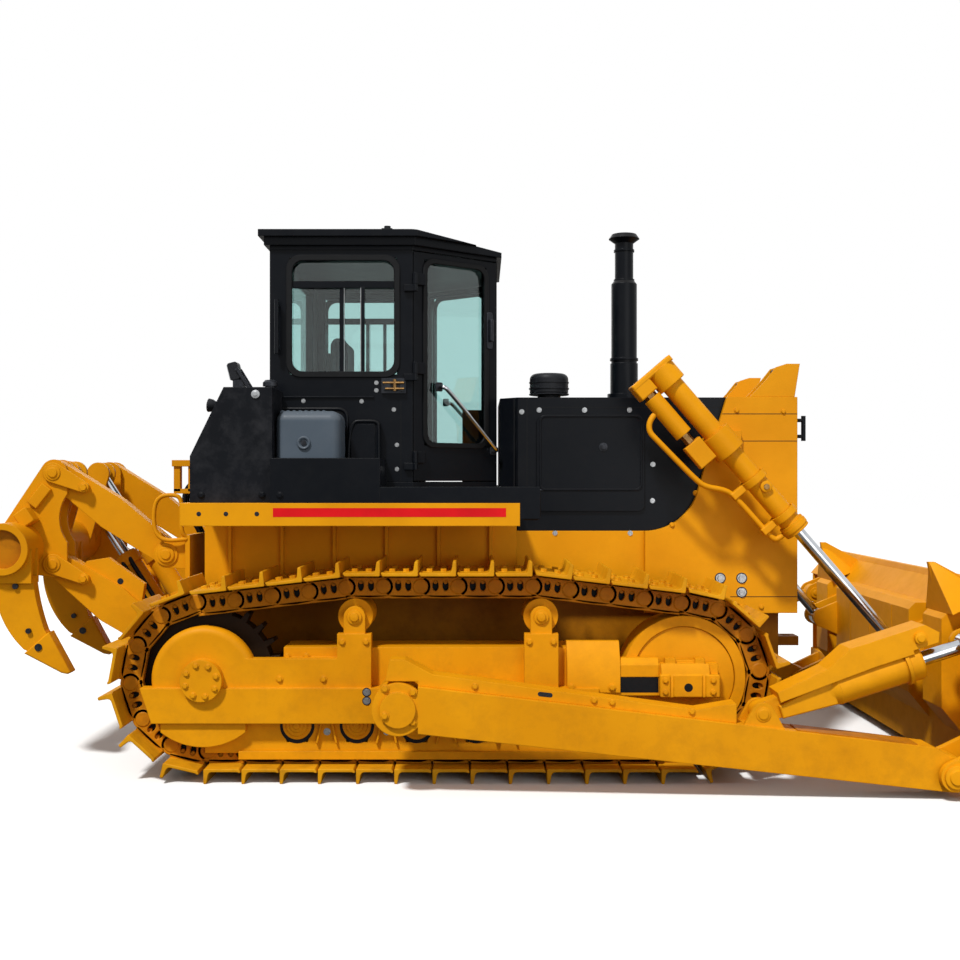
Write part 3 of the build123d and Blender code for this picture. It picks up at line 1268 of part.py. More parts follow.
def tilt_end_eye(side):
    """Flat eye at the blade's end."""
    y0, y1 = span(side, ARM_Y - TILT_EYE_HALF, ARM_Y + TILT_EYE_HALF)
    cross_rod(*tilt_eye, 1.7 * TILT_PIN, y0, y1)
    cross_rod(*tilt_eye, TILT_PIN, y0, y1, mode=Mode.SUBTRACT)


with BuildPart() as tilt_barrel:
    strut(tilt_point(TILT_BARREL_START, -1), tilt_point(TILT_GLAND, -1), TILT_BARREL)
    tilt_foot_link(-1, TILT_PIN + TILT_PIN_GAP)
    tilt_turn = atan2(TILT_EYE_Z - TILT_FOOT_Z, TILT_EYE_X - TILT_FOOT_X)
    cover_face = []
    for along, above in (
        (3 * TILT_PIN, TILT_PIN),
        (3 * TILT_PIN, COVER_LOW),
        (COVER_STEP, COVER_LOW + TILT_PIN),
        (COVER_BEND, COVER_HIGH),
        (COVER_END - COVER_HIGH + COVER_LOW + TILT_ROD, COVER_HIGH),
        (COVER_END, COVER_LOW + TILT_ROD),
        (COVER_END - TILT_ROD / 2, 2 * TILT_ROD),
        (TILT_GLAND - TILT_ROD, 2 * TILT_ROD),
        (TILT_GLAND - TILT_ROD, 1.5 * TILT_ROD),
        (COVER_BEND + TILT_BARREL, 1.5 * TILT_ROD),
    ):
        cover_face.append(
            (
                TILT_FOOT_X + along * cos(tilt_turn) - above * sin(tilt_turn),
                TILT_FOOT_Z + along * sin(tilt_turn) + above * cos(tilt_turn),
            )
        )
    side_plate(cover_face, -ARM_Y - COVER_HALF, -ARM_Y + COVER_HALF)
    strut(
        tilt_point(TILT_GLAND - TILT_ROD_INSIDE - TILT_STROKE, -1), tilt_point(TILT_GLAND, -1),
        TILT_ROD + PIN_GAP, mode=Mode.SUBTRACT,
    )

with BuildPart() as tilt_rod:
    strut(tilt_point(TILT_GLAND - TILT_ROD_INSIDE, -1), tilt_point(tilt_length - 1.4 * TILT_PIN, -1), TILT_ROD)
    tilt_end_eye(-1)

with BuildPart() as pitch_brace:
    strut(tilt_point(TILT_BARREL_START, 1), tilt_point(TILT_GLAND, 1), TILT_BARREL * 0.8)
    strut(tilt_point(TILT_GLAND, 1), tilt_point(tilt_length - 1.4 * TILT_PIN, 1), TILT_ROD)
    tilt_foot_link(1, TILT_PIN + TILT_PIN_GAP)
    tilt_end_eye(1)

# Lift cylinders: barrels hung in yokes on the radiator guard, rods down to the blade
lift_pivot = (LIFT_TRUNNION_X, LIFT_TRUNNION_Z)
lift_eye = (LIFT_EYE_X, LIFT_EYE_Z)
lift_length = hypot(LIFT_EYE_X - LIFT_TRUNNION_X, LIFT_EYE_Z - LIFT_TRUNNION_Z)


def lift_point(distance):
    """Point on the right lift cylinder's axis at a distance from its trunnion."""
    x, z = toward(lift_pivot, lift_eye, distance)
    return (x, -LIFT_Y, z)


with BuildPart() as lift_barrels:
    strut(lift_point(-LIFT_HEAD_REACH), lift_point(LIFT_GLAND_REACH), LIFT_BARREL)
    strut(lift_point(LIFT_GLAND_REACH - LIFT_BARREL), lift_point(LIFT_GLAND_REACH), LIFT_BARREL + LIFT_FLANGE)
    strut(lift_point(-LIFT_COLLAR), lift_point(LIFT_COLLAR), LIFT_BARREL + LIFT_FLANGE)
    cross_rod(*lift_pivot, YOKE_PIN, -LIFT_Y, -GUARD_HALF - PANEL_GAP)
    strut(
        lift_point(-LIFT_HEAD_REACH + LIFT_ROD), lift_point(LIFT_GLAND_REACH),
        LIFT_ROD + PIN_GAP, mode=Mode.SUBTRACT,
    )
    mirror(about=Plane.XZ)

with BuildPart() as lift_rods:
    strut(lift_point(lift_length - LIFT_ROD_LENGTH), lift_point(lift_length - 1.2 * LIFT_ROD), LIFT_ROD)
    cross_rod(*lift_eye, 1.7 * LIFT_ROD, -LIFT_Y - LIFT_EYE_HALF, -LIFT_Y + LIFT_EYE_HALF)
    cross_rod(*lift_eye, LIFT_ROD, -LIFT_Y - LIFT_EYE_HALF, -LIFT_Y + LIFT_EYE_HALF, mode=Mode.SUBTRACT)
    mirror(about=Plane.XZ)

with BuildPart() as lift_yokes:
    yoke_end = LIFT_Y - LIFT_BARREL - LIFT_FLANGE - 2 * PANEL_GAP
    cross_rod(*lift_pivot, 2 * YOKE_PIN, -yoke_end, -GUARD_HALF)
    block(
        LIFT_TRUNNION_X, LIFT_TRUNNION_X + 4 * YOKE_PIN, -GUARD_HALF - YOKE_PIN, -GUARD_HALF,
        LIFT_TRUNNION_Z - 2 * YOKE_PIN, LIFT_TRUNNION_Z + 2 * YOKE_PIN,
    )
    cross_rod(*lift_pivot, YOKE_PIN + PIN_GAP, -yoke_end, -GUARD_HALF, mode=Mode.SUBTRACT)
    mirror(about=Plane.XZ)

# Ripper: bracket on the hull, parallel links, tool beam, shanks and two cylinders
pivot_low = (RIPPER_PIVOT_X, RIPPER_LOW_Z)
pivot_up = (RIPPER_PIVOT_X, RIPPER_UP_Z)
beam_low = (RIPPER_PIVOT_X + RIPPER_REACH_X, RIPPER_LOW_Z + RIPPER_REACH_Z)
beam_up = (RIPPER_PIVOT_X + RIPPER_REACH_X, RIPPER_UP_Z + RIPPER_REACH_Z)
ripper_gap = RIPPER_ARM_WIDTH / 2 + RIPPER_SIDE_GAP
cyl_gap = RIPPER_EYE_HALF + RIPPER_SIDE_GAP

with BuildPart() as ripper_bracket:
    block(
        HULL_REAR - RIPPER_PLATE, HULL_REAR, -DECK_HALF, DECK_HALF,
        RIPPER_LOW_Z - RIPPER_PLATE * 4, RIPPER_UP_Z + RIPPER_PLATE * 4,
    )
    for side in (-1, 1):
        for pivot in (pivot_low, pivot_up):
            ear = [
                (*pivot, RIPPER_END + RIPPER_SIDE_GAP),
                (HULL_REAR - RIPPER_PLATE / 2, pivot[1] - RIPPER_END, RIPPER_PLATE / 2),
                (HULL_REAR - RIPPER_PLATE / 2, pivot[1] + RIPPER_END, RIPPER_PLATE / 2),
            ]
            for inner in (RIPPER_ARM_Y - ripper_gap - RIPPER_EAR, RIPPER_ARM_Y + ripper_gap):
                link_plate(ear, *span(side, inner, inner + RIPPER_EAR))
            reach = ripper_gap + RIPPER_EAR
            cross_rod(*pivot, RIPPER_PIN, *span(side, RIPPER_ARM_Y - reach, RIPPER_ARM_Y + reach))
        ear = [
            (*pivot_low, RIPPER_END + RIPPER_SIDE_GAP),
            (HULL_REAR - RIPPER_PLATE / 2, RIPPER_LOW_Z - RIPPER_END, RIPPER_PLATE / 2),
            (HULL_REAR - RIPPER_PLATE / 2, RIPPER_LOW_Z + RIPPER_END, RIPPER_PLATE / 2),
        ]
        for inner in (RIPPER_CYL_Y - cyl_gap - RIPPER_EAR, RIPPER_CYL_Y + cyl_gap):
            link_plate(ear, *span(side, inner, inner + RIPPER_EAR))
        reach = cyl_gap + RIPPER_EAR
        cross_rod(*pivot_low, RIPPER_PIN, *span(side, RIPPER_CYL_Y - reach, RIPPER_CYL_Y + reach))


def ripper_links(start, end, waist):
    """Right and left links between two pin lines, with bored ends."""
    middle = toward(start, end, hypot(RIPPER_REACH_X, RIPPER_REACH_Z) / 2)
    for side in (-1, 1):
        y0, y1 = span(side, RIPPER_ARM_Y - RIPPER_ARM_WIDTH / 2, RIPPER_ARM_Y + RIPPER_ARM_WIDTH / 2)
        link_plate([(*start, RIPPER_END), (*middle, waist), (*end, RIPPER_END)], y0, y1)
        cross_rod(*start, RIPPER_PIN + PIN_GAP, y0, y1, mode=Mode.SUBTRACT)
        cross_rod(*end, RIPPER_PIN + PIN_GAP, y0, y1, mode=Mode.SUBTRACT)


with BuildPart() as ripper_arm:
    ripper_links(pivot_low, beam_low, RIPPER_ARM_WAIST)
    tie = toward(pivot_low, beam_low, RIPPER_TIE_REACH)
    cross_rod(*tie, RIPPER_END, -RIPPER_ARM_Y, RIPPER_ARM_Y)
    arm_turn = atan2(-RIPPER_REACH_Z, -RIPPER_REACH_X)
    stop_face = []
    for along, above in (
        (STOP_START, 0),
        (STOP_START, RIPPER_ARM_WAIST),
        (STOP_START + STOP_RISE, RIPPER_ARM_WAIST + STOP_RISE),
        (STOP_END - STOP_RISE / 2, RIPPER_ARM_WAIST + STOP_RISE),
        (STOP_END, RIPPER_ARM_WAIST),
        (STOP_END, 0),
    ):
        stop_face.append(
            (
                beam_low[0] + along * cos(arm_turn) - above * sin(arm_turn),
                beam_low[1] + along * sin(arm_turn) + above * cos(arm_turn),
            )
        )
    for side in (-1, 1):
        y0, y1 = span(side, RIPPER_ARM_Y - RIPPER_ARM_WIDTH / 4, RIPPER_ARM_Y + RIPPER_ARM_WIDTH / 4)
        side_plate(stop_face, y0, y1)

with BuildPart() as ripper_link:
    ripper_links(pivot_up, beam_up, RIPPER_LINK_WAIST)

with BuildPart() as ripper_beam:
    cross_rod(TUBE_X, TUBE_Z, TUBE_RADIUS, -TUBE_HALF, TUBE_HALF)
    for y0 in (-TUBE_HALF, TUBE_HALF - TUBE_MOUTH):
        cross_rod(TUBE_X, TUBE_Z, TUBE_RADIUS - TUBE_WALL, y0, y0 + TUBE_MOUTH, mode=Mode.SUBTRACT)
    for side in (-1, 1):
        for inner in (RIPPER_ARM_Y - ripper_gap - RIPPER_EAR, RIPPER_ARM_Y + ripper_gap):
            link_plate(
                [
                    (*beam_up, RIPPER_END + RIPPER_SIDE_GAP),
                    (TUBE_X, TUBE_Z, TUBE_RADIUS),
                    (*beam_low, RIPPER_END + RIPPER_SIDE_GAP),
                ],
                *span(side, inner, inner + RIPPER_EAR),
            )
        reach = ripper_gap + RIPPER_EAR
        cross_rod(
            beam_up[0] + RIPPER_END + CHEEK_HOLLOW - CHEEK_DEPTH,
            (beam_up[1] + beam_low[1]) / 2,
            CHEEK_HOLLOW,
            *span(side, RIPPER_ARM_Y - 2 * reach, RIPPER_ARM_Y + 2 * reach),
            mode=Mode.SUBTRACT,
        )
        for pin in (beam_low, beam_up):
            cross_rod(*pin, RIPPER_PIN, *span(side, RIPPER_ARM_Y - reach, RIPPER_ARM_Y + reach))
        for inner in (RIPPER_CYL_Y - cyl_gap - RIPPER_EAR, RIPPER_CYL_Y + cyl_gap):
            link_plate(
                [(*beam_up, RIPPER_END), (TUBE_X, TUBE_Z, TUBE_RADIUS)],
                *span(side, inner, inner + RIPPER_EAR),
            )
    for y in (-SHANK_Y, 0, SHANK_Y):
        for inner in (y - SHANK_THICK / 2 - RIPPER_EAR, y + SHANK_THICK / 2):
            block(
                TUBE_X - SHANK_WIDTH / 4, TUBE_X + SHANK_WIDTH * 0.7, inner, inner + RIPPER_EAR,
                SHANK_TOP - SHANK_GRIP, TUBE_Z,
            )

with BuildPart() as ripper_shanks:
    for y in (-SHANK_Y, 0, SHANK_Y):
        with BuildSketch(Plane.XZ.offset(-y - SHANK_THICK / 2)) as shank_profile:
            front_x = TUBE_X + SHANK_WIDTH * 0.7
            with BuildLine():
                ThreePointArc(
                    (front_x, SHANK_TOP), (front_x + SHANK_SWEEP / 8, SHANK_TOP - SHANK_DROP * 0.3),
                    (front_x + SHANK_SWEEP / 3, SHANK_TOP - SHANK_DROP * 0.57),
                )
                Polyline(
                    (front_x + SHANK_SWEEP / 3, SHANK_TOP - SHANK_DROP * 0.57),
                    (front_x + SHANK_SWEEP, SHANK_TOP - SHANK_DROP),
                    (front_x - SHANK_SWEEP / 4, SHANK_TOP - SHANK_DROP * 0.77),
                )
                ThreePointArc(
                    (front_x - SHANK_SWEEP / 4, SHANK_TOP - SHANK_DROP * 0.77),
                    (front_x - SHANK_WIDTH * 0.8, SHANK_TOP - SHANK_DROP * 0.44),
                    (front_x - SHANK_WIDTH, SHANK_TOP),
                )
                Line((front_x - SHANK_WIDTH, SHANK_TOP), (front_x, SHANK_TOP))
            make_face()
        extrude(shank_profile.sketch, amount=SHANK_THICK)


def ripper_point(distance, side):
    """Point on a ripper cylinder's axis at a distance from its lower pin."""
    x, z = toward(pivot_low, beam_up, distance)
    return (x, side * RIPPER_CYL_Y, z)


ripper_length = hypot(beam_up[0] - pivot_low[0], beam_up[1] - pivot_low[1])

with BuildPart() as ripper_barrels:
    for side in (-1, 1):
        y0, y1 = span(side, RIPPER_CYL_Y - RIPPER_EYE_HALF, RIPPER_CYL_Y + RIPPER_EYE_HALF)
        neck = toward(pivot_low, beam_up, RIPPER_END + RIPPER_BARREL)
        link_plate([(*pivot_low, RIPPER_END), (*neck, RIPPER_EYE_HALF)], y0, y1)
        strut(
            ripper_point(RIPPER_END + 4 * RIPPER_SIDE_GAP, side), ripper_point(RIPPER_GLAND, side), RIPPER_BARREL
        )
        cross_rod(*pivot_low, RIPPER_PIN + PIN_GAP, y0, y1, mode=Mode.SUBTRACT)
        strut(
            ripper_point(ripper_length - RIPPER_ROD_LENGTH - RIPPER_STROKE, side),
            ripper_point(RIPPER_GLAND, side), RIPPER_ROD + PIN_GAP, mode=Mode.SUBTRACT,
        )

with BuildPart() as ripper_rods:
    for side in (-1, 1):
        y0, y1 = span(side, RIPPER_CYL_Y - RIPPER_ROD_EYE, RIPPER_CYL_Y + RIPPER_ROD_EYE)
        strut(
            ripper_point(ripper_length - RIPPER_ROD_LENGTH, side), ripper_point(ripper_length - RIPPER_ROD, side),
            RIPPER_ROD,
        )
        cross_rod(*beam_up, 1.7 * RIPPER_ROD, y0, y1)
        cross_rod(*beam_up, RIPPER_ROD, y0, y1, mode=Mode.SUBTRACT)

# Pieces to write
pieces = {
    "hull_frame": hull_frame,
    "engine_block": engine_block,
    "hood": hood,
    "engine_side_panels": engine_side_panels,
    "lower_side_panels": lower_side_panels,
    "radiator_guard": radiator_guard,
    "radiator_core": radiator_core,
    "radiator_grille": radiator_grille,
    "exhaust_stack": exhaust_stack,
    "air_precleaner": air_precleaner,
    "lamp_brackets": lamp_brackets,
    "head_lamps": head_lamps,
    "fenders": fenders,
    "fuel_tank": fuel_tank,
    "rear_lamps": rear_lamps,
    "side_boxes": side_boxes,
    "side_steps": side_steps,
    "hydraulic_tank": hydraulic_tank,
    "cab_floor": cab_floor,
    "cab_roof": cab_roof,
    "cab_rear_wall": cab_rear_wall,
    "cab_side_right": cab_side_right,
    "cab_side_left": cab_side_left,
    "cab_front_wall": cab_front_wall,
    "cab_glass": cab_glass,
    "seat_frame": seat_frame,
    "seat_cushion": seat_cushion,
    "seat_back": seat_back,
    "control_console": control_console,
    "handrails": handrails,
    "final_drives": final_drives,
    "sprockets": sprockets,
    "front_idlers": front_idlers,
    "track_rollers": track_rollers,
    "track_frame_right": track_frame_right,
    "track_frame_left": track_frame_left,
    "track_right": track_right,
    "track_left": track_left,
    "lift_yokes": lift_yokes,
    "ripper_bracket": ripper_bracket,
    "push_arm_right": push_arm_right,
    "hose_guard": hose_guard,
    "blade": blade,
    "cutting_edge": cutting_edge,
    "push_arm_left": push_arm_left,
    "pitch_brace": pitch_brace,
    "tilt_barrel": tilt_barrel,
    "tilt_rod": tilt_rod,
    "lift_barrels": lift_barrels,
    "lift_rods": lift_rods,
    "ripper_arm": ripper_arm,
    "ripper_link": ripper_link,
    "ripper_beam": ripper_beam,
    "ripper_shanks": ripper_shanks,
    "ripper_barrels": ripper_barrels,
    "ripper_rods": ripper_rods,
    "door_right": door_right,
    "door_glass_right": door_glass_right,
    "door_left": door_left,
    "door_glass_left": door_glass_left,
}

os.makedirs("parts", exist_ok=True)
for name, piece in pieces.items():
    piece.part.label = name
    export_step(piece.part, f"parts/{name}.step")
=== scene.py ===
"""Looks of a crawler bulldozer with blade and ripper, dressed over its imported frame."""

import json
from contextlib import contextmanager
from math import atan2, cos, hypot, pi, radians, sin

import bmesh
import bpy
from mathutils import Matrix, Vector
from mathutils.geometry import convex_hull_2d


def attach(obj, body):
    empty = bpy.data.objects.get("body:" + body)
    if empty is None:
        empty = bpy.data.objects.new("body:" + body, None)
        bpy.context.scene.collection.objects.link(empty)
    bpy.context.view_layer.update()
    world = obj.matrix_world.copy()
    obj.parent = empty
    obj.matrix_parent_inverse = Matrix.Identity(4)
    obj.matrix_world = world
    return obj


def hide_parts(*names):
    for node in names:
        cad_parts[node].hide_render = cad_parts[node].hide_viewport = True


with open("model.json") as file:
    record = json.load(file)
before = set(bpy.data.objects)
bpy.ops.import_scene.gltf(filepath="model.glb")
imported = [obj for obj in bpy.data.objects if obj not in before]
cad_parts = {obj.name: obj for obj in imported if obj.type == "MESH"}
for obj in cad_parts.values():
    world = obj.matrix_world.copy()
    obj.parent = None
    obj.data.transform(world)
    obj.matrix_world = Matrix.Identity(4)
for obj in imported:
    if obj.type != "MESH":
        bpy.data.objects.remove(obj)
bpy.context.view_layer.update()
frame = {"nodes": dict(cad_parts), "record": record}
nodes = frame["nodes"]
scene = bpy.context.scene


def linear(colour):
    """Linear RGBA of an sRGB hex colour."""
    channels = [int(colour[i:i + 2], 16) / 255 for i in (1, 3, 5)]
    return [c / 12.92 if c <= 0.04045 else ((c + 0.055) / 1.055) ** 2.4 for c in channels] + [1.0]


def add(tree, kind, inputs=None, **settings):
    """Add a node with its settings, and fill its inputs with values or links."""
    node = tree.nodes.new(kind)
    for name, value in settings.items():
        setattr(node, name, value)
    for name, value in (inputs or {}).items():
        if isinstance(value, bpy.types.NodeSocket):
            tree.links.new(value, node.inputs[name])
        else:
            node.inputs[name].default_value = value
    return node


def blend(tree, share, first, second):
    """Colour between two others."""
    return add(tree, "ShaderNodeMix", {0: share, 6: first, 7: second}, data_type="RGBA").outputs[2]


def ramp(tree, value, low=0.0, high=1.0, start=0.0, end=1.0):
    """Value carried from the range low to high into the range start to end."""
    limits = {"From Min": low, "From Max": high, "To Min": start, "To Max": end}
    return add(tree, "ShaderNodeMapRange", {"Value": value, **limits}).outputs[0]


def maths(tree, operation, first, second):
    """Result of a sum on two values."""
    return add(tree, "ShaderNodeMath", {0: first, 1: second}, operation=operation).outputs[0]


def noise(tree, place, size, detail, roughness=0.5):
    """Noise with features of a given size in metres."""
    settings = {"Vector": place, "Scale": 1 / size, "Detail": detail, "Roughness": roughness}
    return add(tree, "ShaderNodeTexNoise", settings).outputs[0]


def fresh_material(name):
    """A new material, its node tree and its shader."""
    material = bpy.data.materials.new(name)
    material.use_nodes = True
    return material, material.node_tree, material.node_tree.nodes["Principled BSDF"]


# Camera square to the right side, as in the photograph
camera = bpy.data.objects.new("camera", bpy.data.cameras.new("camera"))
camera.data.lens = 45.1
camera.data.sensor_width = 36.0
camera.location = (-0.03, -8.0, 1.70)
camera.rotation_euler = (radians(90), 0, 0)
scene.collection.objects.link(camera)
scene.camera = camera
scene.view_settings.view_transform = "Standard"

# Surround: white to the camera, gloss and glass, dimmer as a light on the machine
AMBIENT = 0.34
world = bpy.data.worlds.new("studio")
world.use_nodes = True
scene.world = world
sky = world.node_tree
path = add(sky, "ShaderNodeLightPath").outputs
seen = maths(sky, "MAXIMUM", path["Is Camera Ray"], path["Is Transmission Ray"])
mirrored = maths(sky, "MAXIMUM", seen, path["Is Glossy Ray"])
sky.nodes["Background"].inputs["Color"].default_value = (1, 1, 1, 1)
sky.links.new(ramp(sky, mirrored, start=AMBIENT), sky.nodes["Background"].inputs["Strength"])


def lamp(name, kind, energy, place, aim, **settings):
    """A studio lamp aimed at a point; the glass doesn't show it."""
    light = bpy.data.lights.new(name, kind)
    light.energy = energy
    for key, value in settings.items():
        setattr(light, key, value)
    holder = bpy.data.objects.new(name, light)
    holder.location = place
    holder.rotation_euler = (Vector(aim) - Vector(place)).to_track_quat("-Z", "Y").to_euler()
    holder.visible_transmission = False
    scene.collection.objects.link(holder)


lamp("key_sun", "SUN", 3.4, (-4.0, -7.0, 12.0), (0, 0, 0.8), angle=radians(6))
lamp("side_fill", "AREA", 230.0, (4.5, -9.0, 3.0), (0.3, 0, 1.0), size=6.0)
lamp("far_fill", "AREA", 160.0, (-3.0, 10.0, 6.0), (0, 0, 1.2), size=6.0)

FLOOR_HALF = 60
ground = bpy.data.meshes.new("floor")
ground.from_pydata([(x * FLOOR_HALF, y * FLOOR_HALF, 0) for x, y in ((-1, -1), (1, -1), (1, 1), (-1, 1))], [],
                   [(0, 1, 2, 3)])
floor = bpy.data.objects.new("floor", ground)
scene.collection.objects.link(floor)
floor_paint, floor_tree, floor_shader = fresh_material("studio_floor")
# The camera sees a pale floor, and the machine gets the light that bare ground throws back
by_camera = add(floor_tree, "ShaderNodeLightPath").outputs["Is Camera Ray"]
floor_tone = blend(floor_tree, by_camera, linear("#6E6C68"), linear("#F6F6F4"))
floor_tree.links.new(floor_tone, floor_shader.inputs["Base Color"])
floor_shader.inputs["Roughness"].default_value = 0.9
ground.materials.append(floor_paint)


def sprayed_paint(name, coat, thin, dirt, roughness, dirt_low, dirt_high, top_light_and_dust):
    """Sprayed enamel on steel plate: even satin coat, slow drift of tone, dust low down, edges rubbed thin."""
    material, tree, shader = fresh_material(name)
    soil = linear(dirt)
    place = add(tree, "ShaderNodeTexCoord").outputs["Object"]
    face = add(tree, "ShaderNodeNewGeometry").outputs["Normal"]
    # Tone drifts over about 0.6 m
    drift = noise(tree, place, 0.6, 4.0)
    body = blend(tree, ramp(tree, drift, 0.35, 0.65), linear(coat), linear(thin))
    # Dust gathers in 120 mm clouds, more or less of it near the ground
    height = add(tree, "ShaderNodeSeparateXYZ", {0: place}).outputs["Z"]
    low = ramp(tree, height, 0.0, 1.4, dirt_low, dirt_high)
    cloud = noise(tree, place, 0.12, 8.0, 0.7)
    patch = ramp(tree, cloud, 0.45, 0.75)
    dusty = blend(tree, maths(tree, "MULTIPLY", patch, low), body, soil)
    # Faces that lean upwards turn towards the dirt colour: settled dust, and where that colour is paler than the coat,
    # a painted highlight from the sky above
    lean = add(tree, "ShaderNodeSeparateXYZ", {0: face}).outputs["Z"]
    top_lit_and_dusty = blend(tree, ramp(tree, lean, 0.08, 0.22, 0.0, top_light_and_dust), dusty, soil)
    # Edges are rounded by 7 mm in the shading and show the dirt where they are rubbed
    soft = add(tree, "ShaderNodeBevel", {"Radius": 0.007}, samples=4).outputs[0]
    turn = add(tree, "ShaderNodeVectorMath", {0: soft, 1: face}, operation="DOT_PRODUCT").outputs["Value"]
    edge = ramp(tree, turn, 0.995, 0.86, 0.0, 0.5)
    skin = blend(tree, maths(tree, "MULTIPLY", edge, patch), top_lit_and_dusty, soil)
    tree.links.new(skin, shader.inputs["Base Color"])
    # Orange peel is about 3 mm; it is drawn at 15 mm so that it shows at this distance
    peel = noise(tree, place, 0.015, 2.0)
    bump = add(tree, "ShaderNodeBump", {"Strength": 0.06, "Distance": 0.002, "Height": peel, "Normal": soft})
    tree.links.new(bump.outputs[0], shader.inputs["Normal"])
    gloss = ramp(tree, cloud, start=roughness - 0.08, end=roughness + 0.14)
    tree.links.new(gloss, shader.inputs["Roughness"])
    shader.inputs["Specular IOR Level"].default_value = 0.10
    return material


def plain_finish(name, colour, thin, grit, roughness, bump_strength, metallic=0.0):
    """Moulded, cast or drawn surface with a grit of a given size in metres."""
    material, tree, shader = fresh_material(name)
    grain = noise(tree, add(tree, "ShaderNodeTexCoord").outputs["Object"], grit, 5.0)
    body = blend(tree, ramp(tree, grain, 0.35, 0.65), linear(colour), linear(thin))
    tree.links.new(body, shader.inputs["Base Color"])
    gloss = ramp(tree, grain, start=roughness * 0.75, end=roughness * 1.25)
    tree.links.new(gloss, shader.inputs["Roughness"])
    bump = add(tree, "ShaderNodeBump", {"Strength": bump_strength, "Distance": 0.002, "Height": grain})
    tree.links.new(bump.outputs[0], shader.inputs["Normal"])
    shader.inputs["Metallic"].default_value = metallic
    shader.inputs["Specular IOR Level"].default_value = 0.5 if metallic else 0.16
    return material


# Golden enamel: satin, warm, with a dusting of dry soil low down
golden_enamel = sprayed_paint("golden_enamel", "#E0970A", "#D28A05", "#7A4A12", 0.48, 0.30, 0.08, 0.04)
# The same enamel on the hull and its walls, darkened as painted shade of the tracks and fender over them, with dust low
# down
soiled_enamel = sprayed_paint("soiled_enamel", "#A8690A", "#8C5406", "#3C230A", 0.46, 0.60, 0.25, 0.10)
# Blue-black enamel on cab and hood: smooth satin that mirrors the sky faintly
night_enamel = sprayed_paint("night_enamel", "#0B0E13", "#080B10", "#34322F", 0.32, 0.14, 0.06, 0.22)
# The same enamel on the fuel tank, whose leaning faces are painted grey almost fully: a painted highlight from the sky
# on its top, with some dust
dusty_enamel = sprayed_paint("dusty_enamel", "#121419", "#0E1014", "#47474A", 0.38, 0.16, 0.30, 0.92)
# Blue-grey hammer paint on the oil tank
tank_enamel = sprayed_paint("tank_enamel", "#59636E", "#4C5660", "#6A6B6C", 0.36, 0.10, 0.10, 0.20)
# Thin golden paint over forged links, browned by oil and dust
chain_enamel = sprayed_paint("chain_enamel", "#C47C0E", "#A8640A", "#4A2A0C", 0.42, 0.50, 0.42, 0.10)
# Golden shoes, rubbed on the lugs
shoe_enamel = sprayed_paint("shoe_enamel", "#DA9A14", "#C4820A", "#5E3A10", 0.38, 0.45, 0.25, 0.04)
# Sprocket rims: enamel darkened to a near-black brown, painted shade of the hollow behind the final drive
oily_steel = sprayed_paint("oily_steel", "#2E1C0C", "#1E1208", "#120B06", 0.40, 0.60, 0.60, 0.20)
# Red vinyl stripe: flat bright film
red_film = plain_finish("red_film", "#D8141A", "#C40F16", 0.20, 0.35, 0.02)
# Hard chrome on rods: drawn, ground and polished
hard_chrome = plain_finish("hard_chrome", "#C9CCD0", "#B4B8BD", 0.08, 0.14, 0.01, 1.0)
# Zinc bolts: bright plated steel
zinc = plain_finish("zinc_plate", "#A9ABAC", "#8C8E90", 0.01, 0.32, 0.05, 1.0)
# Black oxide bolts
black_oxide = plain_finish("black_oxide", "#1B1D22", "#2A2D33", 0.01, 0.42, 0.05, 0.6)
# Synthetic rubber of hoses and seals: dull black, slightly dusty
rubber = plain_finish("hose_rubber", "#08090B", "#0D0E10", 0.03, 0.55, 0.10)
# Moulded ABS of lamps, console and precleaner: fine leather grain drawn at 6 mm
moulded_abs = plain_finish("moulded_abs", "#17181B", "#202226", 0.006, 0.50, 0.20)
# Cast iron of the closed engine
casting = plain_finish("engine_casting", "#2B2B2C", "#3A3835", 0.02, 0.65, 0.30)
# Finned radiator core: black lacquer
core_lacquer = plain_finish("core_lacquer", "#0E0F10", "#1A1B1C", 0.012, 0.60, 0.40)
# Brass and copper of pipe unions
union_brass = plain_finish("union_brass", "#8C6A3A", "#6E5230", 0.02, 0.40, 0.05, 0.8)

# Toughened float glass: clear, tinted blue-green in its depth, with a mirror-like face
window_glass, _, pane = fresh_material("window_glass")
pane.inputs["Base Color"].default_value = linear("#C9E4E2")
pane.inputs["Roughness"].default_value = 0.0
pane.inputs["IOR"].default_value = 1.52
pane.inputs["Transmission Weight"].default_value = 1.0

# Ribbed lamp lenses
lens_glass = plain_finish("lamp_lens", "#D8DADA", "#B9BDC0", 0.012, 0.08, 0.30)

# Woven cloth, threads of 2 mm drawn at 8 mm so that they show
seat_cloth, cloth_tree, cloth_shader = fresh_material("seat_cloth")
cloth_place = add(cloth_tree, "ShaderNodeTexCoord").outputs["Object"]
warp, weft = [
    add(cloth_tree, "ShaderNodeTexWave", {"Vector": cloth_place, "Scale": 1 / 0.008 / 20, "Distortion": 0.4},
        bands_direction=way).outputs["Fac"]
    for way in ("X", "Y")
]
weave = maths(cloth_tree, "MULTIPLY", warp, weft)
threads = blend(cloth_tree, weave, linear("#24262B"), linear("#3A3D44"))
cloth_tree.links.new(threads, cloth_shader.inputs["Base Color"])
cloth_shader.inputs["Roughness"].default_value = 0.9
cloth_shader.inputs["Sheen Weight"].default_value = 0.3
cloth_bump = add(cloth_tree, "ShaderNodeBump", {"Strength": 0.3, "Distance": 0.002, "Height": weave})
cloth_tree.links.new(cloth_bump.outputs[0], cloth_shader.inputs["Normal"])

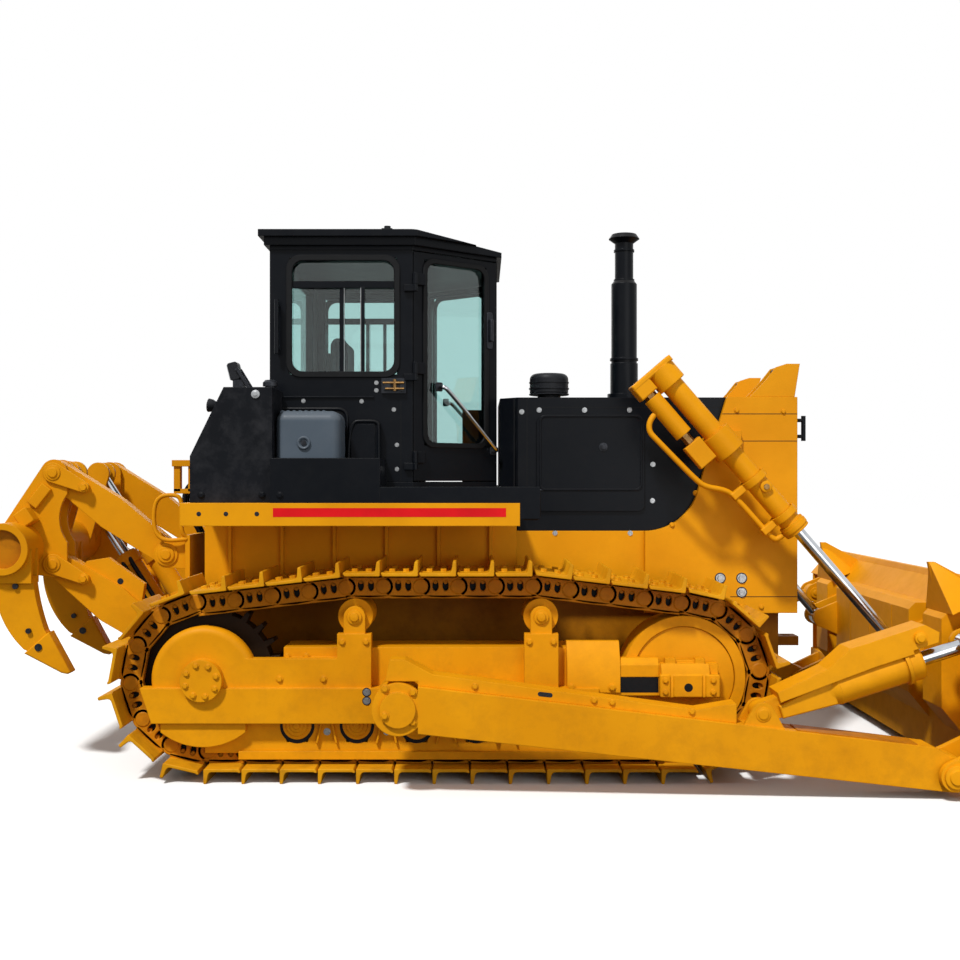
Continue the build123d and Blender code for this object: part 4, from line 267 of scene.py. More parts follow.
# Finishes of the CAD nodes, by the record's slots and by name where a node differs
slot_finish = {
    "yellow_paint": golden_enamel, "black_paint": night_enamel, "track_steel": chain_enamel,
    "edge_steel": golden_enamel, "rod_chrome": hard_chrome, "engine_casting": casting,
    "radiator_metal": core_lacquer, "black_plastic": moulded_abs, "seat_cloth": seat_cloth,
    "window_glass": window_glass,
}
node_finish = {"hydraulic_tank": tank_enamel, "fuel_tank": dusty_enamel, "hull_frame": soiled_enamel,
               "sprockets": oily_steel}
for entry in frame["record"]["subparts"]:
    item = nodes[entry["node"]]
    item.data.materials.clear()
    item.data.materials.append(node_finish.get(entry["node"], slot_finish[entry["material_slot"]]))


def box(bm, low, high):
    """Add a block between two corners."""
    middle = [(a + b) / 2 for a, b in zip(low, high)]
    size = [abs(b - a) for a, b in zip(low, high)]
    bmesh.ops.create_cube(bm, size=1.0, matrix=Matrix.Translation(middle) @ Matrix.Diagonal(size + [1.0]))


def rod(bm, start, end, radius, sides):
    """Add a closed round bar between two points."""
    start, end = Vector(start), Vector(end)
    spin = (end - start).to_track_quat("Z", "Y").to_matrix().to_4x4()
    bmesh.ops.create_cone(
        bm, cap_ends=True, segments=sides, radius1=radius, radius2=radius,
        depth=(end - start).length, matrix=Matrix.Translation((start + end) / 2) @ spin,
    )


def lathe(bm, profile, start, axis, sides=32, hollow=False):
    """Add a turned shape: profile points are (distance along the axis, radius), closed by end discs or as a ring."""
    spin = Matrix.Translation(start) @ Vector(axis).to_track_quat("Z", "Y").to_matrix().to_4x4()
    rings = []
    for along, radius in profile:
        rings.append([
            bm.verts.new(spin @ Vector((radius * cos(2 * pi * k / sides), radius * sin(2 * pi * k / sides), along)))
            for k in range(sides)
        ])
    for first, second in zip(rings, rings[1:] + (rings[:1] if hollow else [])):
        for k in range(sides):
            bm.faces.new((first[k], first[(k + 1) % sides], second[(k + 1) % sides], second[k]))
    if not hollow:
        bm.faces.new(rings[0][::-1])
        bm.faces.new(rings[-1])


def oval(x, z, half_width, half_height, sides):
    """Points of an oval in the XZ plane."""
    turns = [2 * pi * k / sides for k in range(sides)]
    return [(x + half_width * cos(turn), z + half_height * sin(turn)) for turn in turns]


def circle(x, z, radius, sides):
    """Points of a circle in the XZ plane."""
    return oval(x, z, radius, radius, sides)


def hull(circles, sides=24):
    """Outline drawn tight round some circles (x, z, radius)."""
    points = [Vector(p) for c in circles for p in circle(*c, sides)]
    return [tuple(points[i]) for i in convex_hull_2d(points)]


def shown(holder):
    """The mesh that an object shows with its modifiers."""
    return bpy.data.meshes.new_from_object(holder.evaluated_get(bpy.context.evaluated_depsgraph_get()))


def pour(bm, curve, stand=None):
    """Add a curve's solid to a bmesh."""
    holder = bpy.data.objects.new(curve.name, curve)
    scene.collection.objects.link(holder)
    mesh = shown(holder)
    bpy.data.objects.remove(holder)
    if stand is not None:
        mesh.transform(stand)
    bm.from_mesh(mesh)
    bpy.data.meshes.remove(mesh)


def plate(bm, outlines, y0, y1, edge=0.003, spin=None):
    """Add a flat plate between two Y faces: first outline is its rim, the others are holes."""
    curve = bpy.data.curves.new("outline", "CURVE")
    curve.dimensions = "2D"
    curve.fill_mode = "BOTH"
    curve.extrude = abs(y1 - y0) / 2 - edge
    curve.bevel_depth = edge
    curve.bevel_resolution = 0
    curve.offset = -edge
    for outline in outlines:
        spline = curve.splines.new("POLY")
        spline.points.add(len(outline) - 1)
        for point, (x, z) in zip(spline.points, outline):
            point.co = (x, z, 0, 1)
        spline.use_cyclic_u = True
    stand = Matrix.Translation((0, (y0 + y1) / 2, 0)) @ Matrix.Rotation(radians(90), 4, "X")
    pour(bm, curve, spin @ stand if spin else stand)


def tube(bm, points, radius):
    """Add a round pipe along a smooth line through the points' neighbourhood."""
    curve = bpy.data.curves.new("pipe", "CURVE")
    curve.dimensions = "3D"
    curve.bevel_depth = radius
    curve.bevel_resolution = 5
    curve.use_fill_caps = True
    spline = curve.splines.new("NURBS")
    spline.points.add(len(points) - 1)
    for point, place in zip(spline.points, points):
        point.co = (*place, 1)
    spline.order_u = 3
    spline.use_endpoint_u = True
    spline.resolution_u = 6
    pour(bm, curve)


def settle(name, source, finish, body="chassis", mirror=False):
    """Make a piece of a bmesh or mesh, smooth its curved faces, and let it ride on a body."""
    if isinstance(source, bmesh.types.BMesh):
        bmesh.ops.remove_doubles(source, verts=source.verts, dist=0.00005)
        if mirror:
            copy = bmesh.ops.duplicate(source, geom=source.verts[:] + source.edges[:] + source.faces[:])
            fresh = [v for v in copy["geom"] if isinstance(v, bmesh.types.BMVert)]
            bmesh.ops.scale(source, vec=(1, -1, 1), verts=fresh)
        bmesh.ops.recalc_face_normals(source, faces=source.faces)
        mesh = bpy.data.meshes.new(name)
        source.to_mesh(mesh)
        source.free()
    else:
        mesh = source
    mesh.materials.clear()
    mesh.materials.append(finish)
    mesh.shade_smooth()
    mesh.set_sharp_from_angle(angle=radians(32))
    piece = bpy.data.objects.new(name, mesh)
    scene.collection.objects.link(piece)
    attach(piece, body)
    return piece


@contextmanager
def making(name, finish, body="chassis", slot=None, mirror=False):
    """Give an empty bmesh to fill, and make a piece of it when the block ends."""
    bm = bmesh.new()
    yield bm
    settle(name, bm, finish, body, mirror)


def grow(name, tree, points, attributes, values):
    """Run a node tree over some points that carry named values, and return the plain mesh."""
    mesh = bpy.data.meshes.new(name)
    mesh.from_pydata(points, [], [])
    for label, (kind, field) in attributes.items():
        layer = mesh.attributes.new(label, kind, "POINT")
        layer.data.foreach_set("vector" if kind == "FLOAT_VECTOR" else "value",
                               [c for item in field for c in (item if kind == "FLOAT_VECTOR" else [item])])
    holder = bpy.data.objects.new(name, mesh)
    scene.collection.objects.link(holder)
    modifier = holder.modifiers.new("grow", "NODES")
    modifier.node_group = tree
    for item in tree.interface.items_tree:
        if item.item_type == "SOCKET" and item.in_out == "INPUT" and item.name in values:
            modifier[item.identifier] = values[item.name]
    grown = shown(holder)
    bpy.data.objects.remove(holder)
    return grown


def open_tree(name, sockets):
    """A new geometry tree with named inputs, its group input and its group output."""
    tree = bpy.data.node_groups.new(name, "GeometryNodeTree")
    tree.interface.new_socket("Geometry", in_out="INPUT", socket_type="NodeSocketGeometry")
    for label, kind, value in sockets:
        socket = tree.interface.new_socket(label, in_out="INPUT", socket_type=kind)
        if value is not None:
            socket.default_value = value
    tree.interface.new_socket("Geometry", in_out="OUTPUT", socket_type="NodeSocketGeometry")
    return tree, add(tree, "NodeGroupInput"), add(tree, "NodeGroupOutput")


# Hex bolts with washers on points that carry a facing and a size
bolt_tree, bolt_in, bolt_out = open_tree("hex_bolts", [
    ("Head height", "NodeSocketFloat", 0.62), ("Washer radius", "NodeSocketFloat", 1.45),
    ("Finish", "NodeSocketMaterial", None),
])
head = add(bolt_tree, "GeometryNodeMeshCylinder",
           {"Vertices": 6, "Radius": 1.0, "Depth": bolt_in.outputs["Head height"]})
head_up = add(bolt_tree, "GeometryNodeTransform",
              {"Geometry": head.outputs["Mesh"], "Translation": (0, 0, 0.45)})
washer = add(bolt_tree, "GeometryNodeMeshCylinder",
             {"Vertices": 14, "Radius": bolt_in.outputs["Washer radius"], "Depth": 0.3})
bolt_shape = add(bolt_tree, "GeometryNodeJoinGeometry")
bolt_tree.links.new(head_up.outputs[0], bolt_shape.inputs[0])
bolt_tree.links.new(washer.outputs["Mesh"], bolt_shape.inputs[0])
facing = add(bolt_tree, "GeometryNodeInputNamedAttribute", {"Name": "facing"}, data_type="FLOAT_VECTOR")
size = add(bolt_tree, "GeometryNodeInputNamedAttribute", {"Name": "size"}, data_type="FLOAT")
aim = add(bolt_tree, "FunctionNodeAlignRotationToVector", {"Vector": facing.outputs[0]}, axis="Z")
bolt_rows = add(bolt_tree, "GeometryNodeInstanceOnPoints", {
    "Points": bolt_in.outputs["Geometry"], "Instance": bolt_shape.outputs[0], "Rotation": aim.outputs[0],
    "Scale": size.outputs[0],
})
bolt_solid = add(bolt_tree, "GeometryNodeRealizeInstances", {0: bolt_rows.outputs[0]})
bolt_done = add(bolt_tree, "GeometryNodeSetMaterial",
                {"Geometry": bolt_solid.outputs[0], "Material": bolt_in.outputs["Finish"]})
bolt_tree.links.new(bolt_done.outputs[0], bolt_out.inputs[0])


def bolts(name, places, finish, body="chassis", both=False):
    """Bolts at (point, facing, head radius); both adds the same bolts on the other side of the machine."""
    if both:
        places = places + [((p[0], -p[1], p[2]), (f[0], -f[1], f[2]), r) for p, f, r in places]
    mesh = grow(name, bolt_tree, [p for p, _, _ in places],
                {"facing": ("FLOAT_VECTOR", [f for _, f, _ in places]), "size": ("FLOAT", [r for _, _, r in places])},
                {"Finish": finish})
    settle(name, mesh, finish, body)


# Track: one shoe and one chain link, repeated along the chain's pitch line
LINK_COUNT = 38
PITCH_HALF = 0.1067
TRACK_Y = 1.0
SPROCKET_X, IDLER_X, AXLE_Z, WHEEL_RADIUS = -1.595, 1.135, 0.572, 0.420
CARRIERS_X, CARRIER_Z, CARRIER_RADIUS = (-0.741, 0.317), 0.924, 0.168


def pitch_line():
    """Straight and arc stretches of the chain, from the sprocket's top rearwards and round."""
    order = [(SPROCKET_X, AXLE_Z, WHEEL_RADIUS), (IDLER_X, AXLE_Z, WHEEL_RADIUS)]
    order += [(x, CARRIER_Z, CARRIER_RADIUS) for x in reversed(CARRIERS_X)]
    tangents = []
    for (x0, z0, r0), (x1, z1, r1) in zip(order, order[1:] + order[:1]):
        gap = hypot(x1 - x0, z1 - z0)
        # The outside of the loop is on the right of the way round
        side = atan2(z1 - z0, x1 - x0) - (pi / 2 + (r1 - r0) / gap)
        tangents.append(((x0 + r0 * cos(side), z0 + r0 * sin(side)), (x1 + r1 * cos(side), z1 + r1 * sin(side)), side))
    stretches = []
    for number, (start, end, side) in enumerate(tangents):
        before = tangents[number - 1][2]
        stretches.append(("arc", order[number], before, (side - before) % (2 * pi)))
        stretches.append(("line", start, end, hypot(end[0] - start[0], end[1] - start[1])))
    return stretches


def along_line(stretches, distance):
    """Place and direction at a distance along the pitch line."""
    for kind, a, b, c in stretches:
        length = a[2] * c if kind == "arc" else c
        if distance <= length:
            if kind == "arc":
                angle = b + distance / a[2]
                return (a[0] + a[2] * cos(angle), a[1] + a[2] * sin(angle)), (-sin(angle), cos(angle))
            share = distance / length
            way = ((b[0] - a[0]) / length, (b[1] - a[1]) / length)
            return (a[0] + share * (b[0] - a[0]), a[1] + share * (b[1] - a[1])), way
        distance -= length
    return along_line(stretches, distance)


def pattern(name, bm):
    """An object made of a bmesh, not yet in the scene."""
    mesh = bpy.data.meshes.new(name)
    bm.to_mesh(mesh)
    bm.free()
    return bpy.data.objects.new(name, mesh)


chain_path = pitch_line()
loop_length = sum(s[1][2] * s[3] if s[0] == "arc" else s[3] for s in chain_path)
link_places = [along_line(chain_path, (k + 0.5) * loop_length / LINK_COUNT) for k in range(LINK_COUNT)]

shoe = bmesh.new()
plate(shoe, [[
    (-0.106, 0.079), (-0.098, 0.068), (0.094, 0.068), (0.0995, 0.073), (0.0995, 0.148), (0.0965, 0.152),
    (0.0840, 0.152), (0.0810, 0.148), (0.0735, 0.102), (0.0660, 0.090), (0.0550, 0.086), (-0.088, 0.086),
    (-0.102, 0.091), (-0.108, 0.088),
]], -0.280, 0.280, 0.002)
for x in (-0.055, 0.025):
    for y in (-0.1075, 0.1075):
        for reach in (-0.026, 0.026):
            rod(shoe, (x, y + reach, 0.084), (x, y + reach, 0.102), 0.019, sides=6)

# Links with two oval holes, and dark plates behind them that paint the shade seen through the holes
link, hole_shade = bmesh.new(), bmesh.new()
HOLES_X = (-0.022, 0.036)
for side in (-1, 1):
    holes = [oval(x, 0.004, 0.018, 0.031, 14) for x in HOLES_X]
    plate(link, [hull([(PITCH_HALF, 0.0, 0.060), (0.030, 0.0, 0.066), (-0.045, 0.002, 0.064)], 20), *holes],
          side * 0.096, side * 0.128)
    plate(link, [hull([(-PITCH_HALF, 0.0, 0.056), (-0.102, 0.0, 0.056)], 20)], side * 0.086, side * 0.114)
    for x in HOLES_X:
        rod(link, (x, side * 0.090, 0.025), (x, side * 0.112, 0.025), 0.013, sides=10)
    plate(link, [circle(PITCH_HALF, 0.0, 0.043, 18)], side * 0.120, side * 0.1325, 0.004)
    box(link, (-0.106, side * 0.088, -0.068), (0.106, side * 0.128, -0.052))
    box(link, (-0.100, side * 0.088, 0.050), (0.100, side * 0.128, 0.070))
    box(hole_shade, (-0.056, side * 0.084, -0.050), (0.072, side * 0.090, 0.048))
rod(link, (PITCH_HALF, -0.10, 0), (PITCH_HALF, 0.10, 0), 0.036, sides=14)

chain_tree, chain_in, chain_out = open_tree("chain_run", [
    ("Shape", "NodeSocketObject", None), ("Finish", "NodeSocketMaterial", None),
])
shape = add(chain_tree, "GeometryNodeObjectInfo", {"Object": chain_in.outputs["Shape"], "As Instance": True})
slant = add(chain_tree, "GeometryNodeInputNamedAttribute", {"Name": "slant"}, data_type="FLOAT")
wheel = add(chain_tree, "FunctionNodeAxisAngleToRotation", {"Axis": (0, -1, 0), "Angle": slant.outputs[0]})
run = add(chain_tree, "GeometryNodeInstanceOnPoints", {
    "Points": chain_in.outputs["Geometry"], "Instance": shape.outputs["Geometry"], "Rotation": wheel.outputs[0],
})
chain_solid = add(chain_tree, "GeometryNodeRealizeInstances", {0: run.outputs[0]})
chain_done = add(chain_tree, "GeometryNodeSetMaterial",
                 {"Geometry": chain_solid.outputs[0], "Material": chain_in.outputs["Finish"]})
chain_tree.links.new(chain_done.outputs[0], chain_out.inputs[0])

# The plates behind the link holes are painted shade, drawn in the hose rubber finish
chain_parts = [("shoes", pattern("shoe", shoe), shoe_enamel), ("links", pattern("link", link), chain_enamel),
               ("link_backs", pattern("link_back", hole_shade), rubber)]
for side, hand in ((-1, "right"), (1, "left")):
    points = [(x, side * TRACK_Y, z) for (x, z), _ in link_places]
    slants = {"slant": ("FLOAT", [atan2(-way[1], -way[0]) for _, way in link_places])}
    shoes, _, _ = [
        settle(f"{label}_{hand}", grow(label, chain_tree, points, slants, {"Shape": form, "Finish": finish}),
               finish)
        for label, form, finish in chain_parts
    ]
    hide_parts("track_" + hand)

# Rays start this far out, and turned caps close at this radius
RAY_START = 4
CAP_TIP = 0.0005
OUTWARD = (0, -1, 0)
UPWARD = (0, 0, 1)


def touch(names, start, way):
    """Where a ray first meets one of some CAD nodes."""
    hits = []
    for name in names.split():
        hit, place, _, _ = nodes[name].ray_cast(Vector(start), Vector(way))
        if hit:
            hits.append(((place - Vector(start)).length, tuple(place)))
    if not hits:
        raise RuntimeError(f"nothing of {names} lies on the ray from {start}")
    return min(hits)[1]


def on_side(names, x, z, side=-1):
    """Point of some nodes' outer side at (x, z)."""
    return touch(names, (x, side * RAY_START, z), (0, -side, 0))


def side_bolts(names, spots, radius, side=-1):
    """Bolt places on the side faces of some nodes, at (x, z) spots."""
    return [(on_side(names, x, z, side), (0, side, 0), radius) for x, z in spots]


def button(bm, place, profile, top, way=OUTWARD, sides=32):
    """Add a turned cap: profile as for lathe, closed at its top."""
    lathe(bm, [*profile, (top, CAP_TIP)], place, way, sides)


def collar(bm, place, way, inner, outer, length):
    """Add an open ring of plain section round an axis."""
    lathe(bm, [(0, inner), (0, outer), (length, outer), (length, inner)], place, way, hollow=True)


def round_box(x0, x1, z0, z1, corner, steps=5):
    """Outline of a rectangle with rounded corners in the XZ plane."""
    middles = [(x1 - corner, z1 - corner), (x0 + corner, z1 - corner), (x0 + corner, z0 + corner),
               (x1 - corner, z0 + corner)]
    return [
        (x + corner * cos(pi / 2 * (q + k / steps)), z + corner * sin(pi / 2 * (q + k / steps)))
        for q, (x, z) in enumerate(middles) for k in range(steps + 1)
    ]


def prism(bm, x0, x1, y, section):
    """Add a convex bar along X with a section of (depth from y, z) points."""
    corners = [bm.verts.new((x, y + depth, z)) for x in (x0, x1) for depth, z in section]
    bmesh.ops.convex_hull(bm, input=corners)


def arm_z(x):
    """Height of the push arm's top face."""
    return 0.602 - 0.1174 * (x + 0.360)


# Golden bolts on track frames, posts, idler blocks and trunnion plates
frame_side = "track_frame_right front_idlers final_drives"
hub_ring = [(SPROCKET_X + 0.090 * cos(k * pi / 4 + 0.3), AXLE_Z + 0.090 * sin(k * pi / 4 + 0.3)) for k in range(8)]
frame_spots = [(-1.129, 0.694), (-1.162, 0.575), (-0.914, 0.575), (-1.02, 0.694)]
frame_spots += [(x + reach, 0.785) for x in CARRIERS_X for reach in (-0.068, 0.068)]
plate_spots = [(-0.668, 0.506), (-0.668, 0.457)]
bolts("hub_bolts", side_bolts(frame_side, hub_ring, 0.014), golden_enamel, both=True)
bolts("frame_bolts", side_bolts(frame_side, frame_spots, 0.015), golden_enamel, both=True)
bolts("trunnion_plate_bolts", side_bolts("track_frame_right", plate_spots, 0.014), zinc, both=True)
with making("trunnion_washers", black_oxide, mirror=True) as bm:
    for x, z in plate_spots:
        y = on_side("track_frame_right", x, z)[1]
        button(bm, (x, y, z), [(-0.001, 0.025), (0.0015, 0.025)], 0.002, sides=20)

# Turned caps: hub centre, carrier necks and the rings round them
with making("hub_and_carrier_caps", golden_enamel, mirror=True) as bm:
    button(bm, (SPROCKET_X, -1.239, AXLE_Z), [(0, 0.060), (0.012, 0.060), (0.020, 0.050)], 0.022)
    for x in CARRIERS_X:
        y = on_side("track_frame_right", x, CARRIER_Z)[1]
        button(bm, (x, y + 0.001, CARRIER_Z), [(0, 0.042), (0.010, 0.042), (0.012, 0.026), (0.022, 0.024)], 0.026)

# Roller ends between gussets, the ledge below them
guard_y = on_side("track_frame_right", -0.90, 0.20)[1]
rollers_x = [-1.070 + 0.340 * k for k in range(6)]
gaps_x = [x + 0.170 for x in rollers_x[:-1]]
with making("roller_ends", golden_enamel, mirror=True) as bm:
    for x in rollers_x:
        button(bm, (x, guard_y, 0.306), [(0, 0.082), (0.006, 0.082), (0.008, 0.062), (0.018, 0.060), (0.020, 0.040),
                                         (0.026, 0.038), (0.028, 0.020), (0.034, 0.018)], 0.035)
# Dark rings round the roller ends, in the hose rubber finish: painted shade in the gap between roller and guard
with making("roller_flanges", rubber, slot="track_steel", mirror=True) as bm:
    for x in rollers_x:
        button(bm, (x, guard_y, 0.300), [(-0.004, 0.098), (0.002, 0.098)], 0.003)
with making("roller_gussets", golden_enamel, mirror=True) as bm:
    for x in gaps_x:
        for way in (-1, 1):
            rib = [(x + way * a, z) for a, z in ((0.022, 0.330), (0.034, 0.330), (0.062, 0.205), (0.050, 0.205))]
            plate(bm, [rib], guard_y - 0.026, guard_y + 0.004, 0.002)
    box(bm, (-1.400, guard_y - 0.022, 0.114), (1.000, guard_y - 0.004, 0.160))
bolts("roller_nuts", [((x, guard_y, 0.268), OUTWARD, 0.014) for x in gaps_x], zinc, both=True)

# Idler's plain web, recoil housing, tongue and the idler's sliding block
rim_y = on_side("front_idlers", IDLER_X, 0.892)[1]
block_y = on_side("track_frame_right", 0.900, 0.620)[1]
with making("idler_webs", golden_enamel, mirror=True) as bm:
    button(bm, (IDLER_X, rim_y + 0.040, AXLE_Z), [(0, 0.289), (0.028, 0.289), (0.030, 0.280)], 0.031, sides=64)
with making("recoil_and_idler_castings", golden_enamel, mirror=True) as bm:
    for x0, x1, section in (
        (0.462, 0.762, ((-0.012, 0.500), (-0.012, 0.660), (0.060, 0.783), (0.105, 0.783), (0.105, 0.500))),
        (0.760, 0.980, ((-0.005, 0.588), (-0.005, 0.655), (0.030, 0.692), (0.080, 0.692), (0.080, 0.588))),
        (0.990, 1.262, ((-0.034, 0.478), (-0.034, 0.622), (-0.008, 0.664), (0.050, 0.664), (0.050, 0.478))),
    ):
        prism(bm, x0, x1, block_y, section)
    for x0, x1, reach in ((0.981, 1.040, 0.046), (1.238, 1.319, 0.046), (1.058, 1.222, 0.042)):
        plate(bm, [round_box(x0, x1, 0.478, 0.606, 0.010)], block_y - reach, block_y + 0.004, 0.005)
    for x0, x1 in ((1.015, 1.075), (1.185, 1.240)):
        box(bm, (x0, block_y - 0.004, 0.660), (x1, block_y + 0.046, 0.692))
    box(bm, (1.015, block_y + 0.014, 0.660), (1.240, block_y + 0.040, 0.680))
# Dark plates in the hollow under the tongue and in a bore of the sliding block: painted shade
with making("casting_hollows", rubber, slot="black_paint", mirror=True) as bm:
    box(bm, (0.764, block_y - 0.0015, 0.500), (0.978, block_y + 0.001, 0.587))
    button(bm, (1.141, block_y - 0.042, 0.534), [(-0.001, 0.024), (0.001, 0.024)], 0.0015, sides=24)
block_bolts = [((x, block_y - 0.047, z), OUTWARD, 0.013) for x in (1.011, 1.279) for z in (0.508, 0.574)]
block_bolts += [((x, block_y - 0.013, 0.530), OUTWARD, 0.016) for x in (0.487, 0.715)]
bolts("idler_block_bolts", block_bolts, golden_enamel, both=True)
with making("fender_end_steps", night_enamel, mirror=True) as bm:
    plate(bm, [round_box(0.200, 0.312, 1.474, 1.652, 0.028)], -1.250, -1.100, 0.010)

# Push arms: trunnion cap bolts, tilt foot pin heads and a wear plate; the left arm rides with the blade
cap_spots = [(-0.386, 0.574), (-0.534, 0.593), (-0.534, 0.452), (-0.386, 0.415)]
for hand, side, body in (("right", -1, "right_arm"), ("left", 1, "blade_body")):
    bolts("cap_bolts_" + hand, side_bolts("push_arm_" + hand, cap_spots, 0.017, side), golden_enamel, body)
    with making("tilt_foot_pin_" + hand, golden_enamel, body) as bm:
        for y, way in ((1.598, side), (1.442, -side)):
            button(bm, (1.478, side * y, 0.452), [(0, 0.040), (0.006, 0.040), (0.008, 0.028), (0.012, 0.026)], 0.013,
                   (0, way, 0))
with making("arm_wear_plate", chain_enamel, "right_arm") as bm:
    plate(bm, [[(1.66, arm_z(1.66)), (2.30, arm_z(2.30)), (2.30, arm_z(2.30) + 0.005), (1.66, arm_z(1.66) + 0.006)]],
          -1.600, -1.440, 0.001)

# Hose guard on the right arm: bolts, and a dark plate painted as the shade in its slot
guard_spots = [(-0.057, 0.600), (0.578, 0.526), (0.674, 0.515), (1.10, 0.465)]
bolts("hose_guard_bolts", side_bolts("hose_guard", guard_spots, 0.014), golden_enamel, "right_arm")
with making("hose_guard_slot", black_oxide, "right_arm") as bm:
    plate(bm, [hull([(0.29, 0.559, 0.012), (0.345, 0.553, 0.012)])], -1.5912, -1.588, 0.0004)

# Fender edge: red stripe, and dark discs painted as the shade in its rear holes
with making("fender_stripe", red_film, mirror=True) as bm:
    box(bm, (-1.189, -1.2712, 1.493), (0.116, -1.269, 1.543))
with making("fender_holes", black_oxide, mirror=True) as bm:
    for x in (-1.604, -1.452, -1.279):
        button(bm, (x, -1.2695, 1.510), [(0, 0.013), (0.0015, 0.013)], 0.002, sides=18)

# Tanks: bolts, filler cap, vent plugs, plug and ribs of the oil tank
tank_spots = [(-1.606, 1.615), (-1.262, 1.615), (-1.150, 1.615)]
bolts("tank_bolts", side_bolts("fuel_tank side_boxes", tank_spots, 0.015), night_enamel, both=True)
with making("tank_vent_plug", zinc, mirror=True) as bm:
    button(bm, on_side("fuel_tank", -1.299, 2.185), [(-0.002, 0.024), (0.006, 0.024), (0.008, 0.012), (0.012, 0.011)],
           0.0125, (0, -1, 0.1))
with making("tank_filler", black_oxide) as bm:
    button(bm, (-1.250, -1.00, 2.225), [(0, 0.030), (0.018, 0.030), (0.020, 0.044), (0.042, 0.044), (0.056, 0.030)],
           0.060, UPWARD)
plug_x, plug_y, plug_z = on_side("hydraulic_tank", -1.034, 1.911)
with making("oil_tank_plug_and_ribs", tank_enamel) as bm:
    button(bm, (plug_x, plug_y, plug_z),
           [(-0.002, 0.040), (0.010, 0.038), (0.014, 0.032), (0.010, 0.024), (0.004, 0.022)], 0.004)
    for k in range(8):
        x = -1.165 + 0.034 * k
        rod(bm, (x, -1.10, 2.088), (x, -0.90, 2.088), 0.013, sides=12)
# Dark disc in the plug's recess: painted shade
with making("oil_tank_plug_core", black_oxide) as bm:
    button(bm, (plug_x, plug_y - 0.002, plug_z), [(0, 0.016), (0.008, 0.016)], 0.0085, sides=18)

# Work lamps at the rear: tilted heads on brackets, and round lamps low on the slope
lamp_heads, lamp_lenses, lamp_arms = bmesh.new(), bmesh.new(), bmesh.new()
lamp_tilt = Matrix.Translation((-1.455, -1.0, 2.330)) @ Matrix.Rotation(radians(-14), 4, "Y")
plate(lamp_heads, [round_box(-0.030, 0.030, -0.052, 0.052, 0.014)], -0.048, 0.048, 0.004, spin=lamp_tilt)
plate(lamp_lenses, [round_box(-0.034, -0.029, -0.044, 0.044, 0.002)], -0.041, 0.041, 0.001, spin=lamp_tilt)
for y in (-1.060, -0.948):
    plate(lamp_arms, [[(-1.37, 2.224), (-1.35, 2.224), (-1.428, 2.352), (-1.446, 2.342)]], y, y + 0.008)
box(lamp_arms, (-1.46, -1.045, 2.224), (-1.40, -0.955, 2.280))
rod(lamp_arms, (-1.438, -1.063, 2.340), (-1.438, -0.937, 2.340), 0.008, sides=10)
lathe(lamp_heads, [(0, 0.020), (0.030, 0.036), (0.055, 0.040), (0.060, 0.034)], (-1.555, -1.0, 2.130), (-1, 0, 0.1), 20)
rod(lamp_arms, (-1.515, -1.0, 2.120), (-1.560, -1.0, 2.131), 0.010, sides=10)
button(lamp_lenses, (-1.6135, -1.0, 2.1362), [(0, 0.033), (0.004, 0.026)], 0.006, (-1, 0, 0.1), 20)
heads = settle("rear_lamp_heads", lamp_heads, moulded_abs, mirror=True)
settle("rear_lamp_lenses", lamp_lenses, lens_glass, mirror=True)
settle("rear_lamp_brackets", lamp_arms, black_oxide, mirror=True)
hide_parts("rear_lamps")

# Cab sides: rounded window seals, cross bar, sliding panes' stiles, flange, bolts and the arch over the oil tank
with making("side_window_seals", rubber, mirror=True) as bm:
    plate(bm, [round_box(-1.182, -0.505, 2.309, 3.039, 0.085), round_box(-1.146, -0.541, 2.345, 3.003, 0.065)],
          -0.862, -0.846, 0.004)
with making("window_stiles", night_enamel, mirror=True) as bm:
    box(bm, (-1.165, -0.848, 2.842), (-0.522, -0.826, 2.884))
    box(bm, (-0.866, -0.842, 2.330), (-0.842, -0.828, 2.845))
    box(bm, (-0.737, -0.850, 2.330), (-0.717, -0.830, 2.845))
with making("window_slide_trim", zinc, mirror=True) as bm:
    box(bm, (-0.741, -0.8515, 2.345), (-0.737, -0.832, 2.843))
    box(bm, (-0.839, -0.846, 2.345), (-0.836, -0.832, 2.843))
with making("cab_flanges", night_enamel, mirror=True) as bm:
    box(bm, (-1.228, -0.860, 2.188), (-0.660, -0.846, 2.198))
    for y, radius, line in (
        (-0.852, 0.011, ((-1.245, 2.122), (-0.93, 2.122), (-0.825, 2.122), (-0.818, 2.020), (-0.822, 1.845))),
        (-0.852, 0.007, ((-1.245, 2.100), (-0.94, 2.100), (-0.850, 2.100), (-0.842, 2.010), (-0.846, 1.845))),
        (-0.905, 0.010, ((-0.806, 1.825), (-0.806, 2.045), (-0.70, 2.049), (-0.632, 2.045), (-0.628, 2.00),
                         (-0.628, 1.825))),
    ):
        tube(bm, [(x, y, z) for x, z in line], radius)
    box(bm, (-0.792, -0.905, 1.825), (-0.650, -0.846, 2.030))
    box(bm, (-0.648, -0.903, 1.825), (-0.622, -0.846, 2.040))
with making("cab_seams", rubber, mirror=True) as bm:
    box(bm, (-0.5025, -0.8510, 1.69), (-0.4985, -0.8490, 2.175))
    box(bm, (-1.2780, -0.8510, 3.060), (-0.430, -0.8490, 3.0640))
cab_spots = [(-1.080, 2.170), (-0.734, 2.168), (-0.542, 2.119), (-0.524, 1.909), (-0.524, 1.765)]
catch_spots = [(-0.646, 2.278), (-0.646, 2.233)]
for name, spots in (("cab_bolts_right", cab_spots), ("catch_bolts", catch_spots)):
    bolts(name, side_bolts("cab_side_right", spots, 0.009), zinc, both=True)
with making("door_catch_plates", black_oxide, mirror=True) as bm:
    box(bm, (-0.615, -0.866, 2.215), (-0.470, -0.848, 2.305))
    box(bm, (-0.600, -0.885, 2.235), (-0.560, -0.860, 2.285))
    box(bm, (-0.505, -0.880, 2.225), (-0.478, -0.860, 2.300))
